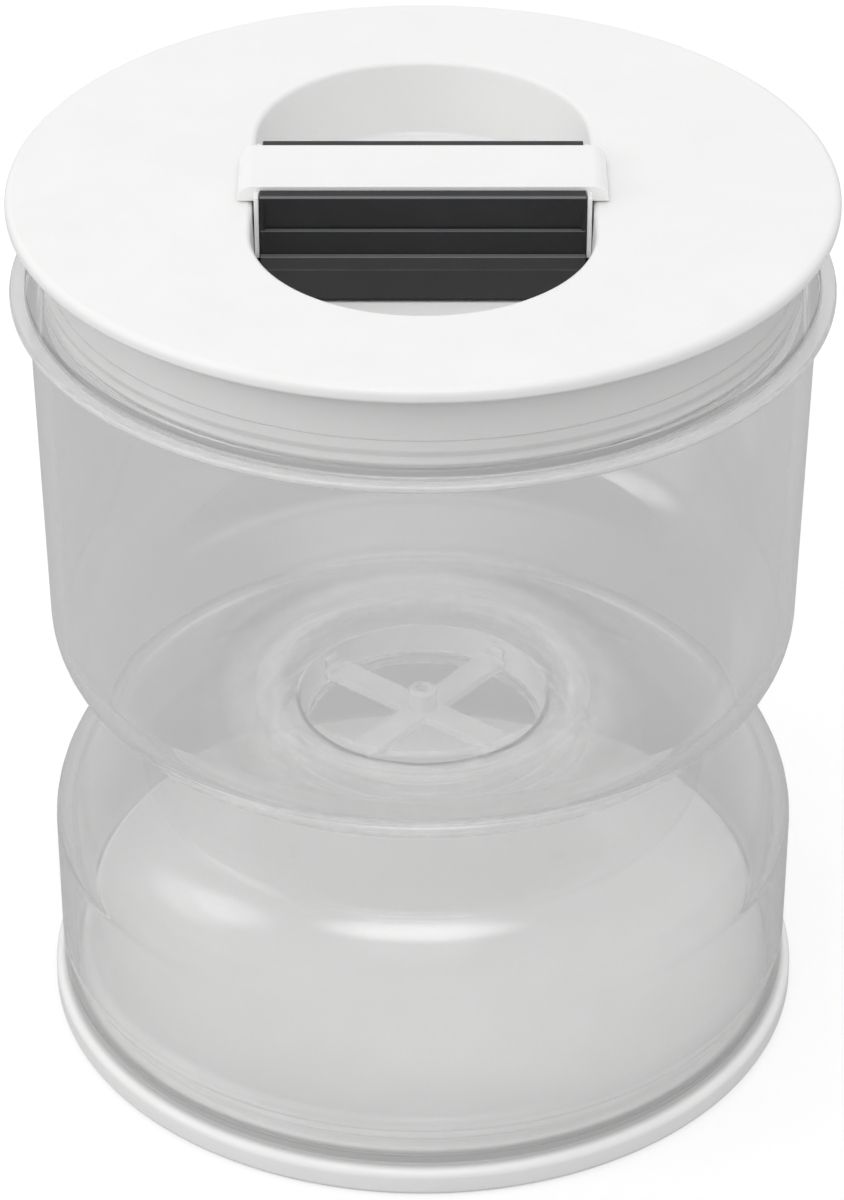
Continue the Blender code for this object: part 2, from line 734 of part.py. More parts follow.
def screw_profile(head_z, shank_end_z, head_up):
    """Profile of a round-head screw, with its head above or below its seat."""
    if head_up:
        return [
            (0, head_z + SCREW_HEAD_HEIGHT),
            (SCREW_HEAD_RADIUS, head_z + SCREW_HEAD_HEIGHT, EDGE_ROUND),
            (SCREW_HEAD_RADIUS, head_z),
            (SCREW_RADIUS, head_z),
            (SCREW_RADIUS, shank_end_z),
            (0, shank_end_z),
        ]
    return [
        (0, shank_end_z),
        (SCREW_RADIUS, shank_end_z),
        (SCREW_RADIUS, head_z),
        (SCREW_HEAD_RADIUS, head_z),
        (SCREW_HEAD_RADIUS, head_z - SCREW_HEAD_HEIGHT, EDGE_ROUND),
        (0, head_z - SCREW_HEAD_HEIGHT),
    ]


def copies(name, corners, places, finish, parts):
    """The same small turned piece at each place, every copy its own object."""
    one = turned(name, corners, on_axis=corners[0][0] == 0, steps=ROUND_STEPS)
    settle(one, parts, finish)
    mesh = one.data
    bpy.data.objects.remove(one)
    for index, (x, y) in enumerate(places, start=1):
        copy = bpy.data.objects.new(f"{name}_{index}", mesh)
        copy.location = (x, y, 0)
        parts.objects.link(copy)


def lid_screws(parts, helpers):
    """Screws that hold the lid base to the bosses of the cover."""
    head = PAN_FLOOR_Z - LID_BASE_SHELL - SEAT_GAP
    end = PAN_FLOOR_Z + LID_SCREW_LENGTH - SEAT_GAP
    profile = screw_profile(head, end, head_up=False)
    copies("lid_screw", profile, corners_of_rectangle(BOSS_X, BOSS_Y), STEEL, parts)


def handle_screws(parts, helpers):
    """Screws under the grip bar that tie the handle block to the plunger."""
    head = CHANNEL_Z - SEAT_GAP - SCREW_HEAD_HEIGHT
    end = PLUNGER_TOP_Z - PLUNGER_PLATE - PAD_DROP
    profile = screw_profile(head, end, head_up=True)
    copies("handle_screw", profile, [(-STEM_X, 0), (STEM_X, 0)], STEEL, parts)


def stem_seals(parts, helpers):
    """Silicone rings round the stems, bedded in the recess floor."""
    inner = STEM_RADIUS + SEAT_GAP
    top = RECESS_FLOOR_Z
    foot = top - STEM_SEAL_HEIGHT
    outer = inner + STEM_SEAL_WIDTH
    corners = [(outer, top), (outer, foot), (inner, foot), (inner, top)]
    copies("stem_seal", corners, [(-STEM_X, 0), (STEM_X, 0)], SILICONE, parts)


def block_outline():
    """Half of the handle block's end view, from the channel down to the foot."""
    top = LID_TOP_Z + BLOCK_PROUD
    channel = BAR_HALF_WIDTH + SEAT_GAP
    step = LID_TOP_Z - LOWER_STEP_DEPTH
    return [
        (channel, CHANNEL_Z),
        (channel, top),
        (BLOCK_HALF_DEPTH, top, BLOCK_ROUND),
        (BLOCK_HALF_DEPTH, step),
        (BLOCK_HALF_DEPTH + STEP_LEDGE, step, BLOCK_ROUND),
        (FLARE_HALF_DEPTH, BLOCK_FOOT_Z + FLARE_FOOT),
        (FLARE_HALF_DEPTH, BLOCK_FOOT_Z),
    ]


def handle_block(parts, helpers):
    """Dark grip with stepped sides between thin cheeks, and the stems that reach the plunger."""
    half = block_outline()
    mirrored = [(-corner[0], *corner[1:]) for corner in reversed(half)]
    obj = extruded("handle_block", half + mirrored, BLOCK_HALF_WIDTH, ALONG_X)
    stem_foot = PLUNGER_TOP_Z + SEAT_GAP
    stems = []
    cuts = []
    head_bed = CHANNEL_Z - 2 * SEAT_GAP - SCREW_HEAD_HEIGHT
    for side in (-1, 1):
        x = side * STEM_X
        stem_root = BLOCK_FOOT_Z + OVERRUN
        stems.append(rod(f"block_stem_{side}", STEM_RADIUS, stem_foot, stem_root, x))
        low = stem_foot - OVERRUN
        high = CHANNEL_Z + OVERRUN
        cuts.append(rod(f"block_bore_{side}", SCREW_RADIUS + SCREW_GAP, low, high, x))
        head_radius = SCREW_HEAD_RADIUS + SCREW_GAP
        cuts.append(rod(f"block_head_bed_{side}", head_radius, head_bed, high, x))
        peg_foot = BAR_FOOT_Z - PEG_LENGTH - SEAT_GAP
        peg_hole = PEG_RADIUS + SEAT_GAP
        cuts.append(rod(f"block_peg_hole_{side}", peg_hole, peg_foot, high, side * PEG_X))
        cuts.append(face_wedge(f"block_face_{side}", side))
        cuts.append(end_chamfer(f"block_end_{side}", side))
    combine(obj, stems, "UNION", helpers)
    combine(obj, cuts, "DIFFERENCE", helpers)
    return settle(obj, parts, DARK)


def face_wedge(name, side):
    """Cutter that leans the upper face inwards down to the upper ledge, between the cheeks."""
    top = LID_TOP_Z + BLOCK_PROUD - BLOCK_ROUND
    ledge = LID_TOP_Z - UPPER_STEP_DEPTH
    outside = BLOCK_HALF_DEPTH + OVERRUN
    corners = [
        (side * BLOCK_HALF_DEPTH, top),
        (side * outside, top),
        (side * outside, ledge),
        (side * (BLOCK_HALF_DEPTH - STEP_LEDGE), ledge),
    ]
    return extruded(name, corners, BLOCK_HALF_WIDTH - CHEEK_THICKNESS, ALONG_X)


def end_chamfer(name, side):
    """Cutter that takes the upper corner off one end of the block."""
    top = LID_TOP_Z + BLOCK_PROUD
    beyond = BLOCK_HALF_WIDTH + OVERRUN
    corners = [
        (side * (BLOCK_HALF_WIDTH - BLOCK_END_CHAMFER - OVERRUN), top + OVERRUN),
        (side * beyond, top + OVERRUN),
        (side * beyond, top - BLOCK_END_CHAMFER - OVERRUN),
    ]
    return extruded(name, corners, FLARE_HALF_DEPTH, ALONG_Y)


def grip_bar(parts, helpers):
    """White bar in the channel of the block, with end legs over the lid and two pegs below."""
    leg_foot = LID_TOP_Z + SEAT_GAP
    leg = BLOCK_HALF_WIDTH + SLIDE_GAP
    corners = [
        (-BAR_HALF_LENGTH, leg_foot),
        (-BAR_HALF_LENGTH, BAR_TOP_Z, BAR_END_ROUND),
        (BAR_HALF_LENGTH, BAR_TOP_Z, BAR_END_ROUND),
        (BAR_HALF_LENGTH, leg_foot),
        (leg, leg_foot),
        (leg, BAR_FOOT_Z),
        (-leg, BAR_FOOT_Z),
        (-leg, leg_foot),
    ]
    obj = extruded("grip_bar", corners, BAR_HALF_WIDTH, ALONG_Y)
    bevelled(obj, BAR_BEVEL)
    pegs = []
    for side in (-1, 1):
        low = BAR_FOOT_Z - PEG_LENGTH
        high = BAR_FOOT_Z + BAR_THICKNESS / 2
        pegs.append(rod(f"bar_peg_{side}", PEG_RADIUS, low, high, side * PEG_X))
    combine(obj, pegs, "UNION", helpers)
    return settle(obj, parts, WHITE)


def main():
    clear_scene()
    parts = new_collection("pickle_jar_with_strainer")
    helpers = new_collection("helpers")
    for build in (
        base_cap,
        base_seal,
        lower_jar,
        neck_seal,
        upper_jar,
        strainer,
        lid_cover,
        seal_band,
        lid_base,
        lid_screws,
        plunger,
        stem_seals,
        handle_block,
        handle_screws,
        grip_bar,
    ):
        build(parts, helpers)


main()
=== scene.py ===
import math
from collections import namedtuple

import bmesh
import bpy
from mathutils import Matrix, Vector


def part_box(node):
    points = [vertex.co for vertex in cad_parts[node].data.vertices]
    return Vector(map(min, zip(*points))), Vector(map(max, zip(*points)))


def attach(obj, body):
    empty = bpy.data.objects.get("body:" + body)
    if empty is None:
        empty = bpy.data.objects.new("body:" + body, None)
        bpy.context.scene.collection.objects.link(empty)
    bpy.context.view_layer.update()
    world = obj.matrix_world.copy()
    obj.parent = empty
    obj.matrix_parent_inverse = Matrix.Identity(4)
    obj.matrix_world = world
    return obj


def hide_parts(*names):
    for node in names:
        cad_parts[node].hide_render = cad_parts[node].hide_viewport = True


bl_info = {
    "name": "Pickle jar with strainer",
    "version": (1, 0, 0),
    "blender": (4, 5, 0),
    "location": "3D view > Sidebar > Pickle jar",
    "description": "Dresses the solids of an hourglass pickle jar with its moulded forms and plastics",
    "category": "Object",
}

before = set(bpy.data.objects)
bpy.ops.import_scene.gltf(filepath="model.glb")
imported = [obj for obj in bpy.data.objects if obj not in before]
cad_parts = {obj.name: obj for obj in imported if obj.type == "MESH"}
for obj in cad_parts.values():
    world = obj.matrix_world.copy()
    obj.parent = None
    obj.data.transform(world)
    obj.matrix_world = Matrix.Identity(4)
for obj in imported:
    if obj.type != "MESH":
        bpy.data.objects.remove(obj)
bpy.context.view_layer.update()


def top_of(node):
    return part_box(node)[1].z


def foot_of(node):
    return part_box(node)[0].z


def reach_of(node):
    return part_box(node)[1].x


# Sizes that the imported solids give
LID_RADIUS = reach_of("lid_cover")
LID_TOP = top_of("lid_cover")
BASE_RADIUS = reach_of("base_cap")
PLUG_TOP = top_of("base_cap")
LOWER_RADIUS = reach_of("lower_jar")
LOWER_FOOT = foot_of("lower_jar")
COLLAR_TOP = top_of("lower_jar")
RIM_TOP = top_of("upper_jar")
SPIGOT_FOOT = foot_of("upper_jar")
FLANGE_RADIUS = reach_of("upper_jar")
STRAINER_RADIUS = reach_of("strainer")
STRAINER_FOOT = foot_of("strainer")
BAND_RADIUS = reach_of("seal_band")
BAND_TOP = top_of("seal_band")
BAND_FOOT = foot_of("seal_band")
BLOCK_FOOT = foot_of("handle_block")
BLOCK_TOP = top_of("handle_block")
BAR_TOP = top_of("grip_bar")
BAR_HALF_LENGTH = reach_of("grip_bar")

# Sizes that several pieces share
GAP = 0.0003
TOUCH = 0.00002
COLLAR_RADIUS = 0.026
FUNNEL_SLOPE = math.radians(10)
RECESS_FLOOR = LID_TOP - 0.012
UPPER_LEDGE = LID_TOP - 0.0033
LOWER_LEDGE = LID_TOP - 0.0071
BLOCK_HALF_LENGTH = 0.0232
CHANNEL_FLOOR = BLOCK_TOP - 0.00155
STEM_RADIUS = 0.0034
STEM_PLACES = [(-0.012, 0), (0.012, 0)]
PEG_PLACES = [(-0.0185, 0), (0.0185, 0)]
BOSS_PLACES = [(x, y) for x in (-0.033, 0.033) for y in (-0.012, 0.012)]
SCREW_HEAD = 0.0013
SPOKE_TURNS = (math.radians(51), math.radians(141))

# How the surroundings look: to the camera white, to light that a surface turns a pale grey
TURNED_LIGHT = 0.735
SKY_LOW, SKY_HIGH = 0.65, 0.91
FLOOR_LIFT, FLOOR_FAINT = 0.56, 0.02

# The photo's camera: its focal length and frame in pixels, its place and its angle down
PHOTO_FOCAL, PHOTO_HEIGHT = 4529.55, 1200
PHOTO_PLACE = (0, -0.57999, 0.43966)
PHOTO_TILT = 32.63


class JarSizes(bpy.types.PropertyGroup):
    """Sizes of the forms that the solids leave plain"""

    turn_steps: bpy.props.IntProperty(
        name="Turn steps", description="Facets round each turned piece", default=192, min=48, max=360
    )
    round_segments: bpy.props.IntProperty(
        name="Round segments", description="Facets across each rounded edge", default=5, min=1, max=12
    )
    wall: bpy.props.FloatProperty(
        name="Clear wall", description="Thickness of the clear walls", default=0.0022, unit="LENGTH"
    )
    edge: bpy.props.FloatProperty(
        name="Edge round", description="Rounding of the clear edges", default=0.0006, unit="LENGTH"
    )
    thread_lead: bpy.props.FloatProperty(
        name="Thread lead", description="Rise of the neck thread in one turn", default=0.004, unit="LENGTH"
    )
    thread_depth: bpy.props.FloatProperty(
        name="Thread depth", description="Height of the thread ridges", default=0.0009, unit="LENGTH"
    )
    thread_width: bpy.props.FloatProperty(
        name="Thread width", description="Width of the ridges at their root", default=0.0014, unit="LENGTH"
    )
    recess_lip: bpy.props.FloatProperty(
        name="Recess lip", description="Rounding where the recess meets the lid",
        default=0.0008, unit="LENGTH",
    )
    recess_floor_round: bpy.props.FloatProperty(
        name="Recess floor round", description="Rounding round the recess floor",
        default=0.0012, unit="LENGTH",
    )
    grip_edge: bpy.props.FloatProperty(
        name="Grip edge", description="Rounding of the grip block's edges", default=0.0002, unit="LENGTH"
    )
    bar_edge: bpy.props.FloatProperty(
        name="Bar edge", description="Rounding of the grip bar's long edges", default=0.0006, unit="LENGTH"
    )
    bar_end: bpy.props.FloatProperty(
        name="Bar end", description="Rounding where the bar turns down", default=0.0022, unit="LENGTH"
    )


class JarFinishes(bpy.types.PropertyGroup):
    """Colours of the mouldings and of the studio"""

    clear: bpy.props.FloatVectorProperty(
        name="Clear plastic", description="Tint of the clear walls", default=(0.943, 0.943, 0.943),
        subtype="COLOR", size=3, min=0, max=1,
    )
    white: bpy.props.FloatVectorProperty(
        name="White plastic", description="Colour of the lid and the base", default=(0.92, 0.92, 0.915),
        subtype="COLOR", size=3, min=0, max=1,
    )
    dark: bpy.props.FloatVectorProperty(
        name="Dark plastic", description="Colour of the grip block", default=(0.0105, 0.0108, 0.0115),
        subtype="COLOR", size=3, min=0, max=1,
    )
    silicone: bpy.props.FloatVectorProperty(
        name="Silicone", description="Colour of the seals", default=(0.9, 0.9, 0.895),
        subtype="COLOR", size=3, min=0, max=1,
    )
    steel: bpy.props.FloatVectorProperty(
        name="Screw steel", description="Colour of the screws", default=(0.62, 0.62, 0.61),
        subtype="COLOR", size=3, min=0, max=1,
    )
    floor: bpy.props.FloatVectorProperty(
        name="Floor", description="Colour of the studio floor", default=(0.5, 0.5, 0.5),
        subtype="COLOR", size=3, min=0, max=1,
    )


# Meshes


def bevelled(shape, parts, offset, segments, affect="EDGES", clamp=False):
    """Rounds edges or corners of a bmesh."""
    bmesh.ops.bevel(
        shape, geom=parts, offset=offset, offset_type="OFFSET", segments=segments,
        profile=0.5, affect=affect, material=-1, clamp_overlap=clamp,
    )


def outline(shape, corners, closed=True, segments=5):
    """A wire in the XZ plane through corners (across, up) or (across, up, round)."""
    verts = [shape.verts.new((corner[0], 0, corner[1])) for corner in corners]
    for first, second in zip(verts, verts[1:]):
        shape.edges.new((first, second))
    if closed:
        shape.edges.new((verts[-1], verts[0]))
    for vert, corner in zip(verts, corners):
        if len(corner) > 2 and corner[2]:
            ends = [(edge.other_vert(vert).co - vert.co).normalized() for edge in vert.link_edges]
            offset = corner[2] / math.tan(ends[0].angle(ends[1]) / 2)
            bevelled(shape, [vert], offset, segments, affect="VERTICES")


def washer(inner, outer, low, high, rounding=0, inner_rounding=0):
    """The corners of a ring with a square section."""
    return [
        (outer, high, rounding), (outer, low, rounding),
        (inner, low, inner_rounding or rounding), (inner, high, inner_rounding or rounding),
    ]


def as_mesh(name, shape):
    """A mesh with the faces of a bmesh, which is used up."""
    mesh = bpy.data.meshes.new(name)
    shape.to_mesh(mesh)
    shape.free()
    return mesh


def placed(name, data):
    """A new object of the scene."""
    made = bpy.data.objects.new(name, data)
    bpy.context.scene.collection.objects.link(made)
    return made


def cleaned(shape):
    """Merges doubles and turns all normals outwards."""
    bmesh.ops.remove_doubles(shape, verts=shape.verts, dist=0.000002)
    bmesh.ops.dissolve_degenerate(shape, edges=shape.edges, dist=0.000001)
    bmesh.ops.recalc_face_normals(shape, faces=shape.faces)


def settle(name, shape, finish, body, nodes=(), sharp=40):
    """Makes the bmesh a shaded piece that rides on a body and stands for its nodes."""
    cleaned(shape)
    mesh = as_mesh(name, shape)
    mesh.materials.append(finish)
    mesh.shade_smooth()
    mesh.set_sharp_from_angle(angle=math.radians(sharp))
    piece = placed(name, mesh)
    weighted = piece.modifiers.new("Face weighted normals", "WEIGHTED_NORMAL")
    weighted.keep_sharp = True
    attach(piece, body)
    if nodes:
        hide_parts(*nodes)
    return piece


def spun(shape, steps):
    """Turns all of a wire once round the axis."""
    bmesh.ops.spin(
        shape, geom=shape.verts[:] + shape.edges[:], cent=(0, 0, 0), axis=(0, 0, 1), dvec=(0, 0, 0),
        angle=2 * math.pi, steps=steps, use_merge=True, use_duplicate=False,
    )


def turned(corners, steps, on_axis=False, segments=5, centre=(0, 0)):
    """A profile turned about an upright axis."""
    shape = bmesh.new()
    outline(shape, corners, closed=not on_axis, segments=segments)
    spun(shape, steps)
    if any(centre):
        bmesh.ops.translate(shape, verts=shape.verts, vec=(*centre, 0))
    return shape


def rod(radius, low, high, steps, centre=(0, 0), foot_round=0):
    """An upright cylinder, which may be rounded at its foot."""
    corners = [(0, high), (radius, high), (radius, low, foot_round), (0, low)]
    return turned(corners, steps, on_axis=True, centre=centre)


def drawn_out(corners, reach, along_x, segments=5):
    """A section, drawn out along X or Y from minus to plus its reach."""
    shape = bmesh.new()
    outline(shape, corners, segments=segments)
    bmesh.ops.contextual_create(shape, geom=shape.edges[:])
    way = Vector((1, 0, 0) if along_x else (0, 1, 0))
    if along_x:
        bmesh.ops.rotate(shape, verts=shape.verts, matrix=Matrix.Rotation(math.pi / 2, 3, "Z"))
    bmesh.ops.translate(shape, verts=shape.verts, vec=-reach * way)
    moved = bmesh.ops.extrude_face_region(shape, geom=shape.faces[:])["geom"]
    far = [item for item in moved if isinstance(item, bmesh.types.BMVert)]
    bmesh.ops.translate(shape, verts=far, vec=2 * reach * way)
    return shape


def rounded_ends(shape, axis, offset, segments):
    """Rounds the edges that lie square to one axis."""
    bmesh.ops.recalc_face_normals(shape, faces=shape.faces)
    edges = [
        edge for edge in shape.edges if abs(edge.verts[0].co[axis] - edge.verts[1].co[axis]) < 0.00001
    ]
    bevelled(shape, edges, offset, segments, clamp=True)


def ring(shape, radius, up, steps, stretch=0, centre=(0, 0)):
    """The edges of a circle, drawn apart along Y into an obround by the stretch."""
    place = Matrix.Translation((*centre, up)) @ Matrix.Rotation(math.pi / steps, 4, "Z")
    made = bmesh.ops.create_circle(shape, cap_ends=False, segments=steps, radius=radius, matrix=place)
    for vert in made["verts"]:
        vert.co.y += math.copysign(stretch, vert.co.y)
    return list({edge for vert in made["verts"] for edge in vert.link_edges})


def lofted(shape, rings):
    for low, high in zip(rings, rings[1:]):
        bmesh.ops.bridge_loops(shape, edges=low + high)


def arc_steps(centre, radius, start, end, segments):
    """Points of an arc in a section, from one angle to another in degrees."""
    angles = [math.radians(start + (end - start) * step / segments) for step in range(segments + 1)]
    return [(centre[0] + radius * math.cos(a), centre[1] + radius * math.sin(a)) for a in angles]


def joined(target, source):
    """Adds the source bmesh to the target bmesh."""
    mesh = as_mesh("scratch", source)
    target.from_mesh(mesh)
    bpy.data.meshes.remove(mesh)


def boolean(shape, others, operation):
    """The exact union or difference of a bmesh and other closed ones."""
    made = []
    for index, source in enumerate([shape, *others]):
        cleaned(source)
        name = f"scratch_{index}"
        made.append(placed(name, as_mesh(name, source)))
    for other in made[1:]:
        step = made[0].modifiers.new(other.name, "BOOLEAN")
        step.operation = operation
        step.solver = "EXACT"
        step.object = other
    bpy.context.view_layer.update()
    result = bmesh.new()
    result.from_object(made[0], bpy.context.evaluated_depsgraph_get())
    for obj in made:
        mesh = obj.data
        bpy.data.objects.remove(obj)
        bpy.data.meshes.remove(mesh)
    return result


def rounded_box(size, centre, rounding, turn=0):
    shape = bmesh.new()
    bmesh.ops.create_cube(shape, size=1)
    bmesh.ops.scale(shape, verts=shape.verts, vec=size)
    bmesh.ops.translate(shape, verts=shape.verts, vec=centre)
    if rounding:
        bevelled(shape, shape.edges[:], rounding, 2)
    bmesh.ops.rotate(shape, verts=shape.verts, matrix=Matrix.Rotation(turn, 3, "Z"))
    return shape


# Finishes


def new_finish(name):
    """An empty node material and its tree."""
    made = bpy.data.materials.new(name)
    made.use_nodes = True
    made.node_tree.nodes.clear()
    return made, made.node_tree


def node(tree, kind, inputs=(), **settings):
    """A shader node in a grid. Each of its inputs is a value or the socket that feeds it."""
    row, column = divmod(len(tree.nodes), 8)
    made = tree.nodes.new(f"ShaderNode{kind}")
    made.location = (column * 220, row * -320)
    for name, value in settings.items():
        setattr(made, name, value)
    for socket, value in dict(inputs).items():
        if isinstance(value, bpy.types.NodeSocket):
            tree.links.new(value, made.inputs[socket])
        else:
            made.inputs[socket].default_value = value
    return made


def maths(tree, operation, *values):
    return node(tree, "Math", enumerate(values), operation=operation).outputs["Value"]


def noise(tree, scale, detail, roughness=0.5, stretch=(1, 1, 1)):
    """Noise on Object coordinates."""
    coordinates = node(tree, "TexCoord").outputs["Object"]
    mapping = node(tree, "Mapping", {"Vector": coordinates, "Scale": stretch}).outputs["Vector"]
    inputs = {"Vector": mapping, "Scale": scale, "Detail": detail, "Roughness": roughness}
    return node(tree, "TexNoise", inputs).outputs["Fac"]


def ranged(tree, source, low, high, start=0.3, end=0.7, **settings):
    """The source's values between start and end, moved to low and high."""
    inputs = {"Value": source, "From Min": start, "From Max": end, "To Min": low, "To Max": high}
    return node(tree, "MapRange", inputs, **settings).outputs["Result"]


def mixed_colour(tree, share, low, high):
    """A mix of two colours. The low one may be a socket."""
    if not isinstance(low, bpy.types.NodeSocket):
        low = (*low, 1)
    return node(tree, "Mix", {0: share, 6: low, 7: (*high, 1)}, data_type="RGBA").outputs[2]


def mixed_shader(tree, share, first, second):
    return node(tree, "MixShader", {0: share, 1: first.outputs[0], 2: second.outputs[0]})


def bumped(tree, height, distance, under=None):
    inputs = {"Height": height, "Strength": 1, "Distance": distance}
    if under is not None:
        inputs["Normal"] = under
    return node(tree, "Bump", inputs).outputs["Normal"]


def scaled(colour, share):
    return tuple(min(1.0, channel * share) for channel in colour)


def opaque_finish(
    name, colour, roughness, grain, waves, speckle, metallic=0, subsurface=0, ior=1.5,
    gleam=0.5, shaded=None,
):
    """A moulded or metal finish: mottled colour, grained roughness, fine grain and slow waves in its bump.

    Grain and waves are each a scale and a depth. Shaded holds zones and the share of the
    colour that shows in them: painted light, lighter for painted highlights or darker for painted shade.
    """
    made, tree = new_finish(name)
    tint = ranged(tree, noise(tree, 90, detail=4), 0, 1)
    shade = mixed_colour(tree, tint, scaled(colour, 1 - speckle), scaled(colour, 1 + speckle))
    # Painted light: in the shaded zones the colour is lighter for painted highlights or darker for painted
    # shade
    if shaded:
        zones, share = shaded
        shade = mixed_colour(tree, zone_mask(tree, zones), shade, scaled(colour, share))
    handling = noise(tree, 160, detail=5, roughness=0.65)
    fine = noise(tree, grain[0], detail=2)
    slow = noise(tree, waves[0], detail=1)
    under = bumped(tree, slow, waves[1])
    shader = node(tree, "BsdfPrincipled", {
        "Base Color": shade,
        "Metallic": metallic,
        "Roughness": ranged(tree, handling, *roughness),
        "IOR": ior,
        "Normal": bumped(tree, fine, grain[1], under),
        "Specular IOR Level": gleam,
        "Subsurface Weight": subsurface,
        "Subsurface Radius": (1, 1, 1),
        "Subsurface Scale": 0.0015,
    })
    node(tree, "OutputMaterial", {"Surface": shader.outputs["BSDF"]})
    return made


def clear_finish(name, colour, roughness, waves, zones, haze, milky=(), lines=(), dull=()):
    """Clear moulded plastic: faint waves of the mould, fine handling marks, and a pale shadow.

    In the zones light goes straight through and only a thin haze shows, in the milky ones
    the haze is thicker and glows as painted light, the lines are painted dark lines of shade,
    darker by their share, and in the dull ones the roughness is at least their share. Light that
    a wall has led through many bounces ends in a faint glow.
    """
    made, tree = new_finish(name)
    tint = ranged(tree, noise(tree, 40, detail=2), 0, 1)
    shade = mixed_colour(tree, tint, scaled(colour, 0.99), scaled(colour, 1.01))
    passing = (0.995, 0.995, 0.995, 1)
    # Painted shade: the line zones darken both the glass colour and the light that passes straight through
    if lines:
        dark = zone_mask(tree, lines)
        shade = mixed_colour(tree, dark, shade, (0, 0, 0))
        passing = mixed_colour(tree, dark, passing[:3], (0, 0, 0))
    handling = noise(tree, 220, detail=6, roughness=0.7)
    gloss = ranged(tree, handling, *roughness, start=0.45, end=0.75)
    if dull:
        gloss = maths(tree, "MAXIMUM", gloss, zone_mask(tree, dull))
    slow = noise(tree, waves[0], detail=1, stretch=(1, 1, 0.5))
    shader = node(tree, "BsdfPrincipled", {
        "Base Color": shade,
        "Roughness": gloss,
        "IOR": 1.49,
        "Normal": bumped(tree, slow, waves[1]),
        "Transmission Weight": 1,
    })
    cloud = noise(tree, 60, detail=2)
    thickness = ranged(tree, cloud, 0.8 * haze, 1.2 * haze)
    glow = 0
    # Painted glow: in the milky zones the haze gives out light of its own, a painted highlight
    if milky:
        cloudy = zone_mask(tree, milky)
        thickness = maths(tree, "MAXIMUM", thickness, cloudy)
        glow = ranged(tree, cloudy, 0, 0.12, 0, 0.08)
    film = node(tree, "BsdfPrincipled", {
        "Base Color": (0.9, 0.9, 0.9, 1),
        "Roughness": 0.45,
        "Emission Color": (1, 1, 1, 1),
        "Emission Strength": glow,
    })
    straight = node(tree, "BsdfTransparent", {"Color": passing})
    veil = mixed_shader(tree, thickness, straight, film)
    surface = mixed_shader(tree, zone_mask(tree, zones), shader, veil)
    path = node(tree, "LightPath").outputs
    led = maths(tree, "GREATER_THAN", path["Ray Depth"], 12)
    inside = node(tree, "Emission", {"Color": (1, 1, 1, 1), "Strength": 0.45})
    surface = mixed_shader(tree, led, surface, inside)
    shadow = node(tree, "BsdfTransparent", {"Color": (0.97, 0.97, 0.97, 1)})
    surface = mixed_shader(tree, path["Is Shadow Ray"], surface, shadow)
    node(tree, "OutputMaterial", {"Surface": surface.outputs["Shader"]})
    return made


# A zone round the axis: its radii and heights, its share, the width of its soft ends, and
# the Y past which it fades out
Zone = namedtuple("Zone", "inner outer foot top share soft rear", defaults=(1, 0.0003, None))


def zone_mask(tree, zones):
    """The share inside any of the zones, and zero outside."""
    place = node(tree, "TexCoord").outputs["Object"]
    split = node(tree, "SeparateXYZ", {"Vector": place}).outputs
    flat = node(tree, "Mapping", {"Vector": place, "Scale": (1, 1, 0)}).outputs["Vector"]
    across = node(tree, "VectorMath", {0: flat}, operation="LENGTH").outputs["Value"]
    total = None
    for zone in zones:
        limits = [
            (across, 0, zone.share, zone.inner, zone.soft),
            (across, 1, 0, zone.outer, zone.soft),
            (split["Z"], 0, 1, zone.foot, zone.soft),
            (split["Z"], 1, 0, zone.top, zone.soft),
        ]
        if zone.rear is not None:
            limits.append((split["Y"], 1, 0, zone.rear, 0.01))
        share = None
        for source, low, high, start, width in limits:
            limit = ranged(tree, source, low, high, start, start + width)
            share = limit if share is None else maths(tree, "MULTIPLY", share, limit)
        total = share if total is None else maths(tree, "MAXIMUM", total, share)
    return total


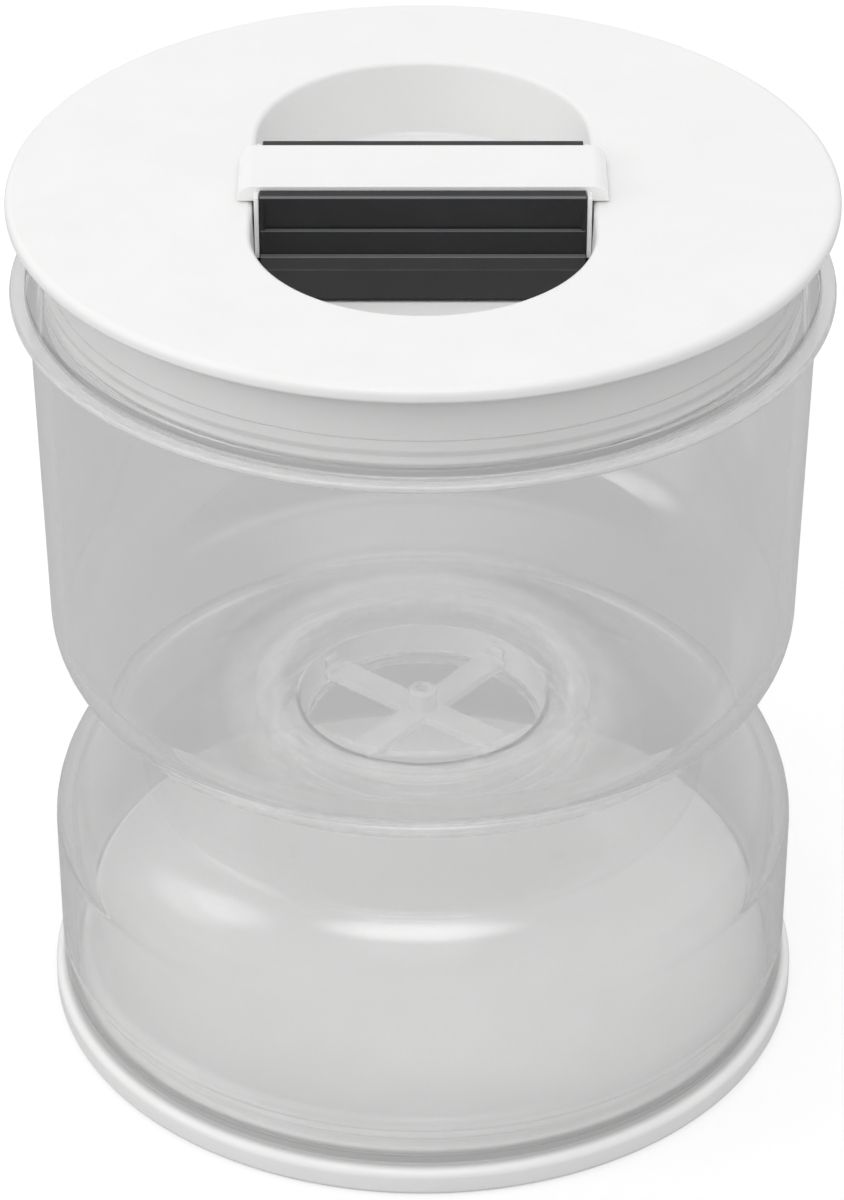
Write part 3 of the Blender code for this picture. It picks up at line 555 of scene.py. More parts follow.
def finish_of(slot):
    """The finish of a material slot, made at its first use."""
    name = f"{slot}_finish"
    found = bpy.data.materials.get(name)
    if found:
        return found
    colours = bpy.context.scene.jar_finishes
    if slot == "clear_plastic":
        neck = Zone(0.0142, 0.0265, SPIGOT_FOOT - 0.006, SPIGOT_FOOT + 0.0115, soft=0.008)
        # Painted highlights: the lip and the flange are milky zones whose haze also glows, a painted light
        # ring on the lip and a lit flange
        lip = Zone(0.0202, 0.0236, SPIGOT_FOOT + 0.009, SPIGOT_FOOT + 0.0125, 0.08, 0.0012)
        rim = Zone(0.0545, 0.0585, RIM_TOP - 0.0124, RIM_TOP - 0.0014)
        rim_inside = Zone(0.0545, 0.0565, RIM_TOP - 0.0152, RIM_TOP - 0.0124)
        # Painted shade: dark rings at the rim's foot, over the rim wall, at the flange's outer foot and at
        # the jar's foot stand in for the dark lines that refraction and shade give there
        rim_foot = Zone(0.0568, 0.0582, RIM_TOP - 0.0125, RIM_TOP - 0.0111, 0.3, 0.0001)
        rim_tint = Zone(0.0545, 0.0585, RIM_TOP - 0.0111, RIM_TOP - 0.0014, 0.04)
        flange = Zone(0.0572, 0.061, RIM_TOP - 0.0142, RIM_TOP - 0.012, 0.15, 0.0002)
        flange_haze = Zone(0.0572, 0.061, RIM_TOP - 0.0142, RIM_TOP - 0.0125, 0.24, 0.0002)
        cloudy_flange = Zone(0.0572, 0.061, RIM_TOP - 0.0145, RIM_TOP - 0.0124, soft=0.0002)
        flange_foot = Zone(0.0596, 0.061, RIM_TOP - 0.014, RIM_TOP - 0.0135, 0.3, 0.0001)
        jar_foot = Zone(0.0535, 0.058, 0, LOWER_FOOT + 0.0045, soft=0.0006)
        foot_tint = Zone(0.0535, 0.058, 0, LOWER_FOOT + 0.0012, 0.07, 0.0004)
        return clear_finish(
            name, colours.clear, roughness=(0.02, 0.06), waves=(35, 0.00002),
            zones=(neck, rim, rim_inside, flange_haze, jar_foot), haze=0.04,
            milky=(lip, cloudy_flange), lines=(rim_foot, rim_tint, flange_foot, foot_tint), dull=(flange,),
        )
    if slot == "clear_strainer":
        cross = Zone(-1, 0.0174, 0, 1)
        ring_wall = Zone(0.017, 0.02, 0, 1, 0.7, 0.0001)
        # Painted shade: the ring's top edge is a dark line, strongest at the front and fading out towards the
        # rear
        edge = Zone(0.0184, 0.02, STRAINER_FOOT + 0.0039, STRAINER_FOOT + 0.0047, 0.9, 0.0001, -0.006)
        return clear_finish(
            name, colours.clear, roughness=(0.12, 0.2), waves=(60, 0.00002),
            zones=(cross, ring_wall), haze=0.45, lines=(edge,),
        )
    if slot == "clear_silicone":
        all_of_it = Zone(-1, 1, 0, 1, 0.8, 0.0001)
        return clear_finish(
            name, colours.clear, roughness=(0.12, 0.3), waves=(60, 0.00008), zones=(all_of_it,),
            haze=0.06,
        )
    if slot == "dark_plastic":
        # Painted highlights: thin bands at the block's top edge and at its two ledges are 14 times lighter
        # than the dark plastic, standing in for edge glints
        ledges = [Zone(-1, 1, BLOCK_TOP - 0.0004, BLOCK_TOP - 0.0001, soft=0.0001)]
        for ledge in (UPPER_LEDGE, LOWER_LEDGE):
            ledges.append(Zone(-1, 1, ledge - 0.00013, ledge + 0.00005, soft=0.00003))
        return opaque_finish(
            name, colours.dark, roughness=(0.34, 0.46), grain=(3200, 0.00001), waves=(120, 0.00002),
            speckle=0.12, gleam=0.35, shaded=(ledges, 14),
        )
    if slot == "silicone":
        return opaque_finish(
            name, colours.silicone, roughness=(0.42, 0.55), grain=(1800, 0.000008), waves=(60, 0.00004),
            speckle=0.02, subsurface=0.3, ior=1.41,
        )
    if slot == "screw_steel":
        return opaque_finish(
            name, colours.steel, roughness=(0.22, 0.4), grain=(2400, 0.000008), waves=(300, 0.00001),
            speckle=0.06, metallic=1,
        )
    # Painted light: the lid's recess and its skirt under the overhang are painted 7 percent lighter, against
    # the shade they lie in
    recess = Zone(-1, 0.04, LID_TOP - 0.0125, LID_TOP - 0.0008)
    skirt = Zone(0.05, 0.0555, LID_TOP - 0.0125, LID_TOP - 0.0024)
    # Painted shade: the groove above the base's bead is painted darker, at 55 percent of the white, where
    # shade gathers under the jar's foot
    groove = Zone(0.055, 0.0565, 0.0035, LOWER_FOOT + 0.0001, soft=0.0011)
    shaded = {"lid_white": ((recess, skirt), 1.07), "base_white": ((groove,), 0.55)}
    return opaque_finish(
        name, colours.white, roughness=(0.3, 0.4), grain=(2600, 0.000006), waves=(45, 0.00003),
        speckle=0.012, subsurface=0.08, shaded=shaded.get(slot),
    )


# Base and clear chambers


class JAR_OT_base(bpy.types.Operator):
    """Turns the white base cap and its sealing ring"""

    bl_idname = "jar.base"
    bl_label = "Base cap"

    def execute(self, context):
        sizes = context.scene.jar_sizes
        bore = LOWER_RADIUS - 0.0002 - sizes.wall
        plug = bore - 0.0004
        bead = 0.0044
        groove_top = bead + 0.0017
        seal_foot = groove_top + 0.0016
        seal_top = seal_foot + 0.0018 + 2 * GAP
        bed = bore - GAP - 0.0014 - GAP
        inner = plug - 0.0042
        ceiling = PLUG_TOP - 0.002
        corners = [
            (0, PLUG_TOP), (plug, PLUG_TOP, 0.0018), (plug, seal_top, 0.0001),
            (bed, seal_top), (bed, seal_foot), (plug, seal_foot, 0.0001), (plug, groove_top),
            (BASE_RADIUS - 0.0022, groove_top, 0.0003), (BASE_RADIUS - 0.0022, bead, 0.0003),
            (BASE_RADIUS, bead, 0.0013), (BASE_RADIUS, 0, 0.001),
            (inner + 0.0022, 0, 0.0004), (inner + 0.0022, 0.0006, 0.0003), (inner, 0.0006, 0.0004),
            (inner, ceiling, 0.001), (0.004, ceiling, 0.0001),
            (0.0036, ceiling - 0.0002), (0, ceiling - 0.0002),
        ]
        shape = turned(corners, sizes.turn_steps, on_axis=True, segments=sizes.round_segments)
        white = finish_of("base_white")
        settle("base_cap_moulding", shape, white, "base", ["base_cap"])
        outer = bore - GAP
        corners = washer(outer - 0.0014, outer, seal_foot + TOUCH, seal_top - TOUCH, 0.0002)
        shape = turned(corners, sizes.turn_steps, segments=3)
        settle("base_seal_ring", shape, finish_of("silicone"), "base", ["base_seal"])
        return {"FINISHED"}


def thread_ridge(radius, start, turns, inward, sizes):
    """A helical ridge on a cylinder, sunk into it and tapered at both ends."""
    half = sizes.thread_width / 2
    root = 0.0003
    out = -1 if inward else 1
    crest = radius + out * sizes.thread_depth
    per_turn = 64
    shape = bmesh.new()
    section = [
        (radius - out * root, -half), (radius, -half), (crest, -half * 0.4),
        (crest, half * 0.4), (radius, half), (radius - out * root, half),
    ]
    verts = [shape.verts.new((x, 0, start + z)) for x, z in section]
    bmesh.ops.spin(
        shape, geom=[shape.faces.new(verts)], cent=(0, 0, 0), axis=(0, 0, 1),
        dvec=(0, 0, sizes.thread_lead / per_turn), angle=2 * math.pi * turns,
        steps=int(per_turn * turns), use_merge=False, use_duplicate=False,
    )
    lead_in = 2 * math.pi * 0.09
    total = 2 * math.pi * turns
    rise = sizes.thread_lead / (2 * math.pi)
    sunk = radius - out * root * 0.5
    for vert in shape.verts:
        angle = math.atan2(vert.co.y, vert.co.x)
        along = (vert.co.z - start) / rise
        turn_count = round((along - angle) / (2 * math.pi))
        travelled = angle + 2 * math.pi * turn_count
        share = min(1, max(0, travelled) / lead_in, max(0, total - travelled) / lead_in)
        distance = math.hypot(vert.co.x, vert.co.y)
        if (distance - sunk) * out > 0:
            wanted = sunk + (distance - sunk) * (0.12 + 0.88 * share)
            vert.co.x *= wanted / distance
            vert.co.y *= wanted / distance
    bmesh.ops.recalc_face_normals(shape, faces=shape.faces)
    return shape


class JAR_OT_lower_chamber(bpy.types.Operator):
    """Turns the clear lower chamber with the thread inside its neck"""

    bl_idname = "jar.lower_chamber"
    bl_label = "Lower chamber"

    def execute(self, context):
        sizes = context.scene.jar_sizes
        wall = sizes.wall
        drop = wall / math.cos(FUNNEL_SLOPE)
        corner = LOWER_FOOT + 0.0388
        inner_corner = corner - drop + wall * math.tan(FUNNEL_SLOPE)
        bore = 0.0235
        collar_foot = COLLAR_TOP - 0.0016
        foot = COLLAR_TOP - 0.0076
        foot_edge = LOWER_FOOT - GAP + TOUCH
        corners = [
            (COLLAR_RADIUS, COLLAR_TOP, 0.0004), (COLLAR_RADIUS, collar_foot, 0.0008),
            (LOWER_RADIUS, corner, 0.017), (LOWER_RADIUS - 0.0002, foot_edge, 0.0005),
            (LOWER_RADIUS - 0.0002 - wall, foot_edge, 0.0003),
            (LOWER_RADIUS - wall, inner_corner, 0.017 - wall),
            (COLLAR_RADIUS, collar_foot - drop, 0.0009), (COLLAR_RADIUS, foot, sizes.edge),
            (bore, foot, sizes.edge), (bore, COLLAR_TOP, 0.0004),
        ]
        shape = turned(corners, sizes.turn_steps, segments=max(sizes.round_segments, 12))
        ridge = thread_ridge(bore, foot + 0.0013, 1.25, True, sizes)
        shape = boolean(shape, [ridge], "UNION")
        clear = finish_of("clear_plastic")
        settle("lower_chamber_wall", shape, clear, "lower_jar", ["lower_jar"], 30)
        return {"FINISHED"}


class JAR_OT_neck_seal(bpy.types.Operator):
    """Turns the silicone washer between the chambers"""

    bl_idname = "jar.neck_seal"
    bl_label = "Neck seal"

    def execute(self, context):
        low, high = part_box("neck_seal")
        corners = washer(0.0225, high.x, low.z, high.z, 0.0005, 0.0002)
        shape = turned(corners, context.scene.jar_sizes.turn_steps, segments=4)
        settle("neck_seal_washer", shape, finish_of("clear_silicone"), "neck_seal", ["neck_seal"])
        return {"FINISHED"}


class JAR_OT_upper_chamber(bpy.types.Operator):
    """Turns the clear upper chamber with its rim, flange, funnel floor and threaded spigot"""

    bl_idname = "jar.upper_chamber"
    bl_label = "Upper chamber"

    def execute(self, context):
        sizes = context.scene.jar_sizes
        wall = sizes.wall
        slope = math.tan(FUNNEL_SLOPE)
        rise = wall / math.cos(FUNNEL_SLOPE)
        seat = SPIGOT_FOOT + 0.0089
        spigot = 0.0222
        bore = spigot - 0.0022
        radius = 0.0561
        top_radius = 0.0574
        corner = seat + (radius - COLLAR_RADIUS) * slope
        inner_corner = corner + rise - wall * slope
        rim = 0.0576
        flange_top = RIM_TOP - 0.0125
        flange_foot = flange_top - 0.0012
        ledge = bore - 0.0024
        ledge_top = SPIGOT_FOOT + 0.0018
        lip = seat - (COLLAR_RADIUS - bore) * slope + rise
        corners = [
            (rim, RIM_TOP, 0.0007), (rim, flange_top, 0.0004),
            (FLANGE_RADIUS, flange_top, 0.0005), (FLANGE_RADIUS, flange_foot, 0.0005),
            (top_radius, flange_foot, 0.0004), (radius, corner, 0.013),
            (COLLAR_RADIUS, seat, 0.0005), (spigot, seat, 0.0004),
            (spigot, SPIGOT_FOOT, sizes.edge), (ledge, SPIGOT_FOOT, sizes.edge),
            (ledge, ledge_top, 0.0004), (bore, ledge_top, 0.0003), (bore, lip, 0.0025),
            (radius - wall, inner_corner, 0.013 - wall), (top_radius - wall, flange_foot, 0.002),
            (rim - wall, flange_top, 0.002), (rim - wall, RIM_TOP, 0.0009),
        ]
        shape = turned(corners, sizes.turn_steps, segments=max(sizes.round_segments, 12))
        ridge = thread_ridge(spigot, SPIGOT_FOOT + 0.0013, 1.3, False, sizes)
        shape = boolean(shape, [ridge], "UNION")
        clear = finish_of("clear_plastic")
        settle("upper_chamber_wall", shape, clear, "upper_jar", ["upper_jar"], 30)
        return {"FINISHED"}


class JAR_OT_strainer(bpy.types.Operator):
    """Makes the clear drop-in strainer: ring, crossing spokes with ribs at their ends, and hub"""

    bl_idname = "jar.strainer"
    bl_label = "Strainer"

    def execute(self, context):
        foot = STRAINER_FOOT
        top = foot + 0.0044
        inner = STRAINER_RADIUS - 0.0017
        middle = (STRAINER_RADIUS + inner) / 2
        corners = [
            (STRAINER_RADIUS, top, 0.0002), (STRAINER_RADIUS, foot, 0.0005),
            (inner, foot, 0.0003), (STRAINER_RADIUS - 0.0006, top, 0.0002),
        ]
        shape = turned(corners, context.scene.jar_sizes.turn_steps, segments=4)
        hub_top = foot + 0.0052
        corners = [(0, hub_top), (0.0022, hub_top, 0.0004), (0.0022, foot, 0.0003), (0, foot)]
        parts = [turned(corners, 48, on_axis=True, segments=4)]
        spoke_middle = foot + 0.0006 + 0.0007
        rib_top = top - 0.001
        for turn in SPOKE_TURNS:
            size = (2 * middle, 0.0046, 0.0014)
            parts.append(rounded_box(size, (0, 0, spoke_middle), 0.0003, turn))
            for side in (-1, 1):
                size = (0.0014, 0.003, rib_top - spoke_middle)
                centre = (side * middle, 0, (rib_top + spoke_middle) / 2)
                parts.append(rounded_box(size, centre, 0.0003, turn))
        shape = boolean(shape, parts, "UNION")
        shape = boolean(shape, [rod(0.0011, foot - 0.001, foot + 0.007, 32)], "DIFFERENCE")
        clear = finish_of("clear_strainer")
        settle("strainer_cross", shape, clear, "strainer", ["strainer"], 30)
        return {"FINISHED"}


# Lid


class JAR_OT_lid_cover(bpy.types.Operator):
    """Makes the white disc with its skirt, the finger recess and the hidden screw bosses"""

    bl_idname = "jar.lid_cover"
    bl_label = "Lid cover"

    def execute(self, context):
        sizes = context.scene.jar_sizes
        steps = sizes.turn_steps
        under = LID_TOP - 0.0022
        skirt = 0.0544
        skirt_foot = under - 0.0089
        half_width, half_length = 0.0243, 0.039
        stretch = half_length - half_width
        cup_foot = RECESS_FLOOR - 0.002
        cup_wall = 0.0015
        draft = 0.0003
        lip, floor_round = sizes.recess_lip, sizes.recess_floor_round
        middle = half_length + 0.005
        shape = bmesh.new()
        corners = [
            (middle, LID_TOP), (LID_RADIUS, LID_TOP, 0.0011), (LID_RADIUS, under, 0.0006),
            (skirt, under, 0.0003), (skirt, skirt_foot, 0.0001), (skirt - 0.002, skirt_foot, 0.0005),
            (skirt - 0.002, under, 0.0006), (middle, under),
        ]
        outline(shape, corners, closed=False, segments=sizes.round_segments)
        bmesh.ops.rotate(shape, verts=shape.verts, matrix=Matrix.Rotation(math.pi / steps, 3, "Z"))
        spun(shape, steps)
        bmesh.ops.remove_doubles(shape, verts=shape.verts, dist=0.000002)
        open_edges = [edge for edge in shape.edges if edge.is_boundary]
        top_ring = [edge for edge in open_edges if edge.verts[0].co.z > LID_TOP - 0.0005]
        under_ring = [edge for edge in open_edges if edge not in top_ring]
        inside = arc_steps((half_width + lip, LID_TOP - lip), lip, 90, 180, 6)
        floor_edge = (half_width - draft - floor_round, RECESS_FLOOR + floor_round)
        inside += arc_steps(floor_edge, floor_round, 0, -90, 6)
        rings = [ring(shape, across, up, steps, stretch) for across, up in inside]
        lofted(shape, [top_ring, *rings])
        outside = [
            (half_width + cup_wall + 0.001, under),
            (half_width + cup_wall, under - 0.001),
            (half_width + cup_wall - draft, cup_foot + 0.001),
            (half_width + cup_wall - draft - 0.001, cup_foot),
        ]
        cup = [ring(shape, across, up, steps, stretch) for across, up in outside]
        lofted(shape, [under_ring, *cup])
        hole = STEM_RADIUS + GAP
        bed = hole + 0.0012 + GAP
        bed_floor = RECESS_FLOOR - 0.0007 - GAP
        tube_steps = ((bed, RECESS_FLOOR), (bed, bed_floor), (hole, bed_floor), (hole, cup_foot))
        holes_above, holes_below = [], []
        for place in STEM_PLACES:
            tube = [ring(shape, across, up, 48, centre=place) for across, up in tube_steps]
            lofted(shape, tube)
            holes_above += tube[0]
            holes_below += tube[-1]
        bmesh.ops.triangle_fill(shape, use_beauty=True, edges=rings[-1] + holes_above)
        bmesh.ops.triangle_fill(shape, use_beauty=True, edges=cup[-1] + holes_below)
        settle("lid_cover_moulding", shape, finish_of("lid_white"), "lid", ["lid_cover"])
        boss_foot = foot_of("lid_base") + 0.0012 + GAP
        corners = [
            (0.0015, under + 0.0004), (0.0026, under + 0.0004),
            (0.0026, boss_foot, 0.0003), (0.0015, boss_foot, 0.0002),
        ]
        bosses = bmesh.new()
        for place in BOSS_PLACES:
            joined(bosses, turned(corners, 32, segments=3, centre=place))
        settle("lid_screw_bosses", bosses, finish_of("white_plastic"), "lid")
        return {"FINISHED"}


class JAR_OT_lid_seals(bpy.types.Operator):
    """Turns the lid's silicone band and the rings round the stems of the grip"""

    bl_idname = "jar.lid_seals"
    bl_label = "Lid seals"

    def execute(self, context):
        inner = BAND_RADIUS - 0.0035
        height = BAND_TOP - BAND_FOOT
        closed_top = BAND_TOP + GAP - TOUCH
        corners = [
            (inner, closed_top, 0.0003), (BAND_RADIUS - 0.0006, closed_top, 0.0001),
            (BAND_RADIUS, BAND_TOP - 0.24 * height, 0.0005),
            (BAND_RADIUS - 0.0003, BAND_TOP - 0.5 * height, 0.0004),
            (BAND_RADIUS, BAND_FOOT + 0.24 * height, 0.0005),
            (BAND_RADIUS - 0.0006, BAND_FOOT, 0.0004), (inner, BAND_FOOT, 0.0003),
        ]
        shape = turned(corners, context.scene.jar_sizes.turn_steps, segments=4)
        silicone = finish_of("silicone")
        settle("lid_seal_band", shape, silicone, "lid", ["seal_band"])
        inner = STEM_RADIUS + GAP
        for index, place in enumerate(STEM_PLACES, start=1):
            low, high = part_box(f"stem_seal_{index}")
            corners = washer(inner, inner + 0.0012, low.z, high.z, 0.00022)
            shape = turned(corners, 64, segments=3, centre=place)
            settle(f"stem_seal_ring_{index}", shape, silicone, "lid", [f"stem_seal_{index}"])
        return {"FINISHED"}


class JAR_OT_lid_base(bpy.types.Operator):
    """Turns the white pan under the lid, with the holes for its screws"""

    bl_idname = "jar.lid_base"
    bl_label = "Lid base"

    def execute(self, context):
        sizes = context.scene.jar_sizes
        low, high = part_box("lid_base")
        floor = low.z + 0.0012
        bore = 0.0438
        outer = bore + 0.0012
        plate = high.z - 0.0015
        corners = [
            (0, floor), (bore, floor, 0.0008), (bore, high.z, 0.0005), (high.x, high.z, 0.0004),
            (high.x, plate, 0.0005), (outer, plate, 0.0006), (outer, low.z, 0.001), (0, low.z),
        ]
        shape = turned(corners, sizes.turn_steps, on_axis=True, segments=sizes.round_segments)
        holes = [rod(0.0015, low.z - 0.001, floor + 0.001, 32, place) for place in BOSS_PLACES]
        shape = boolean(shape, holes, "DIFFERENCE")
        settle("lid_base_pan", shape, finish_of("white_plastic"), "lid", ["lid_base"])
        return {"FINISHED"}


def cross_screw(place, head_seat, shank_end, head_up):
    """A pan-head screw with a cross recess and a threaded look along its shank."""
    head, shank, root = 0.0026, 0.0012, 0.00095
    tip = 1 if shank_end > head_seat else -1
    crown = head_seat + (SCREW_HEAD if head_up else -SCREW_HEAD)
    corners = [(0, crown), (head, crown, 0.0006), (head, head_seat, 0.0001), (shank, head_seat)]
    pitch = 0.0006
    for step in range(int((abs(shank_end - head_seat) - 0.0012) / pitch)):
        corners.append((shank, head_seat + tip * (0.0004 + pitch * step)))
        corners.append((root, head_seat + tip * (0.0004 + pitch * (step + 0.5))))
    corners += [(0.0009, shank_end - tip * 0.0003), (0.0005, shank_end), (0, shank_end)]
    shape = turned(corners, 40, on_axis=True, segments=3)
    slots = [
        rounded_box((0.0028, 0.0006, 0.0014), (0, 0, crown), 0, turn) for turn in (0.3, 0.3 + math.pi / 2)
    ]
    shape = boolean(shape, slots, "DIFFERENCE")
    bmesh.ops.translate(shape, verts=shape.verts, vec=(*place, 0))
    return shape


class JAR_OT_screws(bpy.types.Operator):
    """Makes the cross-head screws of the lid base and of the grip"""

    bl_idname = "jar.screws"
    bl_label = "Screws"

    def execute(self, context):
        steel = finish_of("screw_steel")
        sets = (("lid_screw", "lid", 4, False), ("handle_screw", "handle", 2, True))
        for kind, body, count, head_up in sets:
            for index in range(1, count + 1):
                name = f"{kind}_{index}"
                low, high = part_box(name)
                middle = (low + high) / 2
                seat = high.z - SCREW_HEAD if head_up else low.z + SCREW_HEAD
                end = low.z if head_up else high.z
                shape = cross_screw((middle.x, middle.y), seat, end, head_up)
                settle(f"{name}_cross_head", shape, steel, body, [name])
        return {"FINISHED"}


# Grip


class JAR_OT_grip_block(bpy.types.Operator):
    """Makes the dark stepped grip block with its cheeks and stems"""

    bl_idname = "jar.grip_block"
    bl_label = "Grip block"

    def execute(self, context):
        foot = RECESS_FLOOR + GAP
        channel = 0.0068
        half_width = 0.0089
        toe = 0.0141
        half = [
            (channel, CHANNEL_FLOOR, 0.0001), (channel, BLOCK_TOP, 0.00025), (half_width, BLOCK_TOP, 0.0005),
            (half_width, LOWER_LEDGE, 0.0001), (half_width + 0.0006, LOWER_LEDGE, 0.00025),
            (0.0106, LOWER_LEDGE - 0.00155, 0.0012), (toe, foot + 0.0004, 0.0002), (toe, foot, 0.0001),
        ]
        mirrored = [(-corner[0], *corner[1:]) for corner in reversed(half)]
        shape = drawn_out(half + mirrored, BLOCK_HALF_LENGTH, along_x=True, segments=4)
        rounded_ends(shape, 0, context.scene.jar_sizes.grip_edge, 3)
        cutters = []
        top = BLOCK_TOP - 0.0005
        for side in (-1, 1):
            corners = [
                (side * half_width, top), (side * (half_width + 0.001), top),
                (side * (half_width + 0.001), UPPER_LEDGE), (side * (half_width - 0.0006), UPPER_LEDGE),
            ]
            cutters.append(drawn_out(corners, BLOCK_HALF_LENGTH - 0.00065, along_x=True))
        stem_top = LID_TOP - 0.009
        stems = [rod(STEM_RADIUS, BLOCK_FOOT, stem_top, 64, place, 0.0003) for place in STEM_PLACES]
        shape = boolean(shape, stems, "UNION")
        head_bed = CHANNEL_FLOOR - 2 * GAP - SCREW_HEAD
        below = BLOCK_FOOT - 0.001
        head, shank = 0.0029, 0.0015
        corners = [
            (0, BLOCK_TOP), (head, BLOCK_TOP), (head, head_bed), (shank, head_bed), (shank, below), (0, below)
        ]
        cutters += [turned(corners, 48, on_axis=True, centre=place) for place in STEM_PLACES]
        peg_foot = CHANNEL_FLOOR - 0.004 - GAP
        cutters += [rod(0.0017, peg_foot, BLOCK_TOP, 32, place) for place in PEG_PLACES]
        shape = boolean(shape, cutters, "DIFFERENCE")
        dark = finish_of("dark_plastic")
        settle("grip_block_moulding", shape, dark, "handle", ["handle_block"], 30)
        return {"FINISHED"}


class JAR_OT_grip_bar(bpy.types.Operator):
    """Makes the white bar that lies in the grip block, with its turned-down ends"""

    bl_idname = "jar.grip_bar"
    bl_label = "Grip bar"

    def execute(self, context):
        sizes = context.scene.jar_sizes
        low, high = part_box("grip_bar")
        leg_foot = LID_TOP + GAP
        bar_foot = BAR_TOP - 0.0016
        leg = BLOCK_HALF_LENGTH + 0.0004
        end = BAR_HALF_LENGTH
        half = [
            (end, BAR_TOP, sizes.bar_end), (end, leg_foot, 0.0003),
            (leg, leg_foot, 0.0003), (leg, bar_foot, 0.0004),
        ]
        mirrored = [(-corner[0], *corner[1:]) for corner in reversed(half)]
        corners = [mirrored[-2], mirrored[-1], *half, *mirrored[:-2]]
        shape = drawn_out(corners, high.y, along_x=False, segments=8)
        rounded_ends(shape, 1, sizes.bar_edge, 4)
        socket = bar_foot + 0.0008
        parts = []
        for place in PEG_PLACES:
            parts.append(rod(0.0014, low.z, socket, 32, place, 0.0003))
            inner_foot = LID_TOP - 0.0078
            size = (0.0007, 0.0172, socket - inner_foot)
            centre = (math.copysign(0.02368, place[0]), 0, (inner_foot + socket) / 2)
            parts.append(rounded_box(size, centre, 0.0001))
        shape = boolean(shape, parts, "UNION")
        white = finish_of("white_plastic")
        settle("grip_bar_moulding", shape, white, "handle", ["grip_bar"], 50)
        return {"FINISHED"}


class JAR_OT_plunger(bpy.types.Operator):
    """Dresses the hidden dish that spreads the lid's band"""

    bl_idname = "jar.plunger"
    bl_label = "Plunger"

    def execute(self, context):
        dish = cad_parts["plunger"]
        dish.data.materials.clear()
        dish.data.materials.append(finish_of("white_plastic"))
        return {"FINISHED"}


# Studio


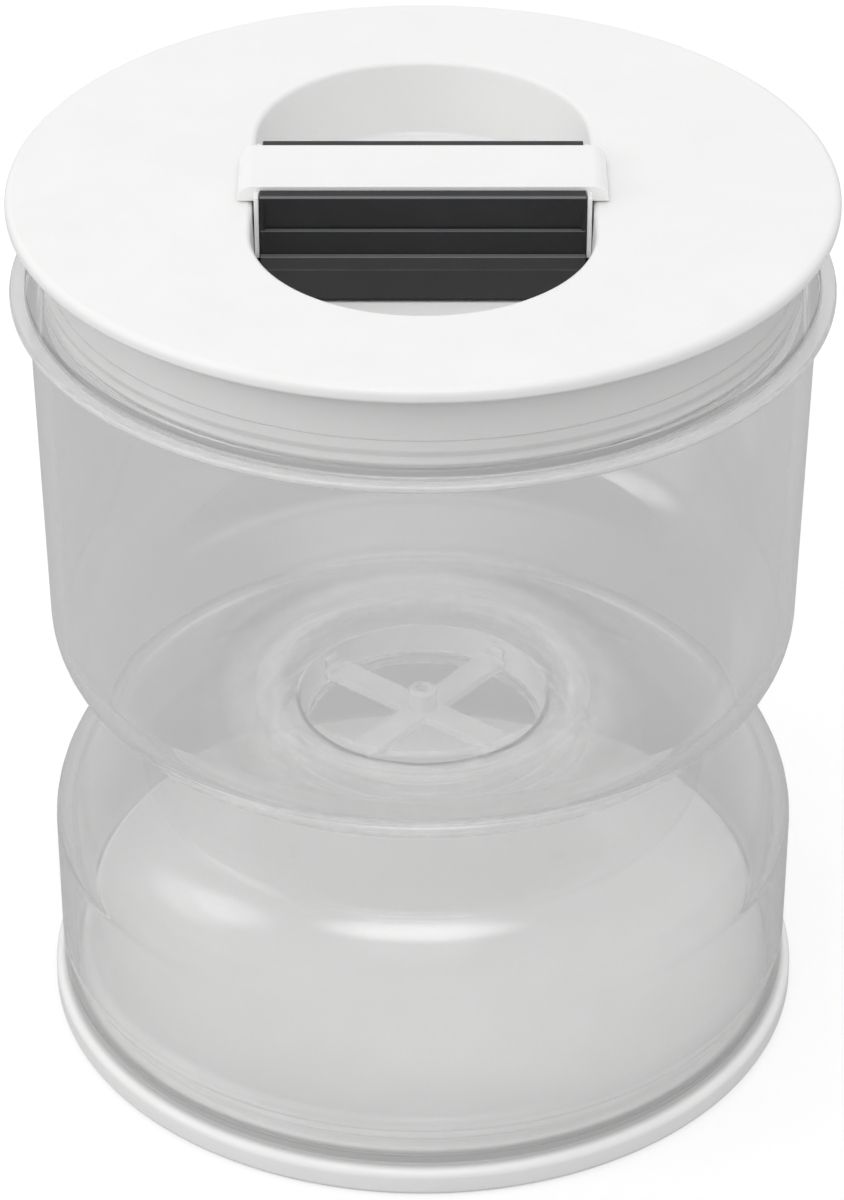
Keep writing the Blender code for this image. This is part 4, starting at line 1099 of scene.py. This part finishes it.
class JAR_OT_stage(bpy.types.Operator):
    """Sets the pale floor, the soft lights, the white surroundings and the camera"""

    bl_idname = "jar.stage"
    bl_label = "Stage"

    def execute(self, context):
        scene = context.scene
        self.floor(scene)
        self.world(scene)
        self.lamps()
        self.camera(scene)
        scene.view_settings.view_transform = "Standard"
        scene.cycles.max_bounces = 24
        scene.cycles.glossy_bounces = 24
        scene.cycles.transmission_bounces = 24
        scene.cycles.transparent_max_bounces = 64
        return {"FINISHED"}

    def floor(self, scene):
        shape = bmesh.new()
        bmesh.ops.create_circle(shape, cap_ends=True, segments=96, radius=4)
        made, tree = new_finish("studio_floor_finish")
        tint = ranged(tree, noise(tree, 3, detail=2), 0, 1)
        colour = scene.jar_finishes.floor
        shade = mixed_colour(tree, tint, scaled(colour, 0.995), scaled(colour, 1.005))
        path = node(tree, "LightPath").outputs
        shade = mixed_colour(tree, path["Is Transmission Ray"], shade, scaled(colour, 1.15))
        inputs = {"Base Color": shade, "Roughness": 0.9, "Specular IOR Level": 0}
        diffuse = node(tree, "BsdfPrincipled", inputs)
        turned_ray = maths(tree, "MAXIMUM", path["Is Glossy Ray"], path["Is Transmission Ray"])
        faint = maths(tree, "MULTIPLY", turned_ray, FLOOR_FAINT)
        lift = maths(tree, "MULTIPLY_ADD", path["Is Camera Ray"], FLOOR_LIFT, faint)
        glow = node(tree, "Emission", {"Strength": lift})
        both = node(tree, "AddShader", {0: diffuse.outputs["BSDF"], 1: glow.outputs["Emission"]})
        node(tree, "OutputMaterial", {"Surface": both.outputs["Shader"]})
        floor = placed("studio_floor", as_mesh("studio_floor", shape))
        floor.data.materials.append(made)

    def world(self, scene):
        world = bpy.data.worlds.new("studio_surroundings")
        world.use_nodes = True
        scene.world = world
        tree = world.node_tree
        tree.nodes.clear()
        coordinates = node(tree, "TexCoord")
        split = node(tree, "SeparateXYZ", {"Vector": coordinates.outputs["Generated"]})
        height = ranged(tree, split.outputs["Z"], SKY_LOW, SKY_HIGH, -0.1, 0.7)
        white = (1, 1, 1, 1)
        light = node(tree, "Background", {"Color": white, "Strength": height})
        through = node(tree, "Background", {"Color": white, "Strength": TURNED_LIGHT})
        seen = node(tree, "Background", {"Color": white, "Strength": 1})
        path = node(tree, "LightPath").outputs
        either = maths(tree, "MAXIMUM", path["Is Glossy Ray"], path["Is Transmission Ray"])
        straight = maths(tree, "LESS_THAN", path["Diffuse Depth"], 0.5)
        share = maths(tree, "MULTIPLY", either, straight)
        dim = mixed_shader(tree, share, light, through)
        mix = mixed_shader(tree, path["Is Camera Ray"], dim, seen)
        node(tree, "OutputWorld", {"Surface": mix.outputs["Shader"]})

    def lamps(self):
        both = ("visible_diffuse", "visible_glossy")
        for name, shape, place, aim, size, power, seen in (
            ("front_softbox", "DISK", (-0.1, -0.95, 1.1), (0, 0, 0.1), (1.4, 1.4), 2.9, both[:1]),
            ("front_panel", "ELLIPSE", (-0.03, -0.75, 1.32), (-0.03, -0.2, 0.05), (1.6, 0.72), 5.6, both[1:]),
            ("rear_softbox", "RECTANGLE", (0.1, 0.75, 1.15), (0, 0, 0.1), (0.8, 0.5), 0.8, both[:1]),
            ("left_softbox", "DISK", (-1.0, -0.2, 0.5), (0, 0, 0.1), (0.8, 0.8), 2.3, both[:1]),
            ("left_panel", "DISK", (-0.95, -0.38, 0.8), (0, 0, 0.08), (0.7, 0.7), 1.0, both[1:]),
        ):
            light = bpy.data.lights.new(name, "AREA")
            light.shape = shape
            light.size, light.size_y = size
            light.energy = power
            self.soften(light)
            lamp = placed(name, light)
            lamp.location = place
            direction = Vector(aim) - Vector(place)
            lamp.rotation_euler = direction.to_track_quat("-Z", "Y").to_euler()
            for kind in both:
                setattr(lamp, kind, kind in seen)

    def soften(self, light):
        """Fades the lamp from its middle to its edge, as a diffuser does."""
        light.use_nodes = True
        tree = light.node_tree
        tree.nodes.clear()
        place = node(tree, "NewGeometry").outputs["Parametric"]
        middle = node(tree, "VectorMath", {0: place, 1: (0.5, 0.5, 0)}, operation="DISTANCE")
        fade = ranged(tree, middle.outputs["Value"], 1.6, 0, 0.15, 0.5, interpolation_type="SMOOTHSTEP")
        emission = node(tree, "Emission", {"Strength": fade})
        node(tree, "OutputLight", {"Surface": emission.outputs["Emission"]})

    def camera(self, scene):
        data = bpy.data.cameras.new("photo_camera")
        data.sensor_width = 36
        data.lens = PHOTO_FOCAL * data.sensor_width / PHOTO_HEIGHT
        data.shift_x = -1 / PHOTO_HEIGHT
        data.clip_start = 0.01
        data.clip_end = 20
        camera = placed("photo_camera", data)
        camera.location = PHOTO_PLACE
        camera.rotation_euler = (math.radians(90 - PHOTO_TILT), 0, 0)
        scene.camera = camera


OPERATORS = (
    JAR_OT_base,
    JAR_OT_lower_chamber,
    JAR_OT_neck_seal,
    JAR_OT_upper_chamber,
    JAR_OT_strainer,
    JAR_OT_lid_cover,
    JAR_OT_lid_seals,
    JAR_OT_lid_base,
    JAR_OT_screws,
    JAR_OT_grip_block,
    JAR_OT_grip_bar,
    JAR_OT_plunger,
    JAR_OT_stage,
)


class JAR_PT_panel(bpy.types.Panel):
    """Lists the pieces of the jar with their sizes and finishes"""

    bl_label = "Pickle jar"
    bl_space_type = "VIEW_3D"
    bl_region_type = "UI"
    bl_category = "Pickle jar"

    def draw(self, context):
        layout = self.layout
        for group in (context.scene.jar_sizes, context.scene.jar_finishes):
            box = layout.box()
            for name in group.__annotations__:
                box.prop(group, name)
        for operator in OPERATORS:
            layout.operator(operator.bl_idname)


CLASSES = (JarSizes, JarFinishes, *OPERATORS, JAR_PT_panel)


def register():
    for made in CLASSES:
        bpy.utils.register_class(made)
    bpy.types.Scene.jar_sizes = bpy.props.PointerProperty(type=JarSizes)
    bpy.types.Scene.jar_finishes = bpy.props.PointerProperty(type=JarFinishes)


def unregister():
    del bpy.types.Scene.jar_finishes
    del bpy.types.Scene.jar_sizes
    for made in reversed(CLASSES):
        bpy.utils.unregister_class(made)


def main():
    register()
    bpy.ops.jar.base()
    bpy.ops.jar.lower_chamber()
    bpy.ops.jar.neck_seal()
    bpy.ops.jar.upper_chamber()
    bpy.ops.jar.strainer()
    bpy.ops.jar.lid_cover()
    bpy.ops.jar.lid_seals()
    bpy.ops.jar.lid_base()
    bpy.ops.jar.screws()
    bpy.ops.jar.grip_block()
    bpy.ops.jar.grip_bar()
    bpy.ops.jar.plunger()
    bpy.ops.jar.stage()
    bpy.context.view_layer.update()


if __name__ == "__main__":
    main()
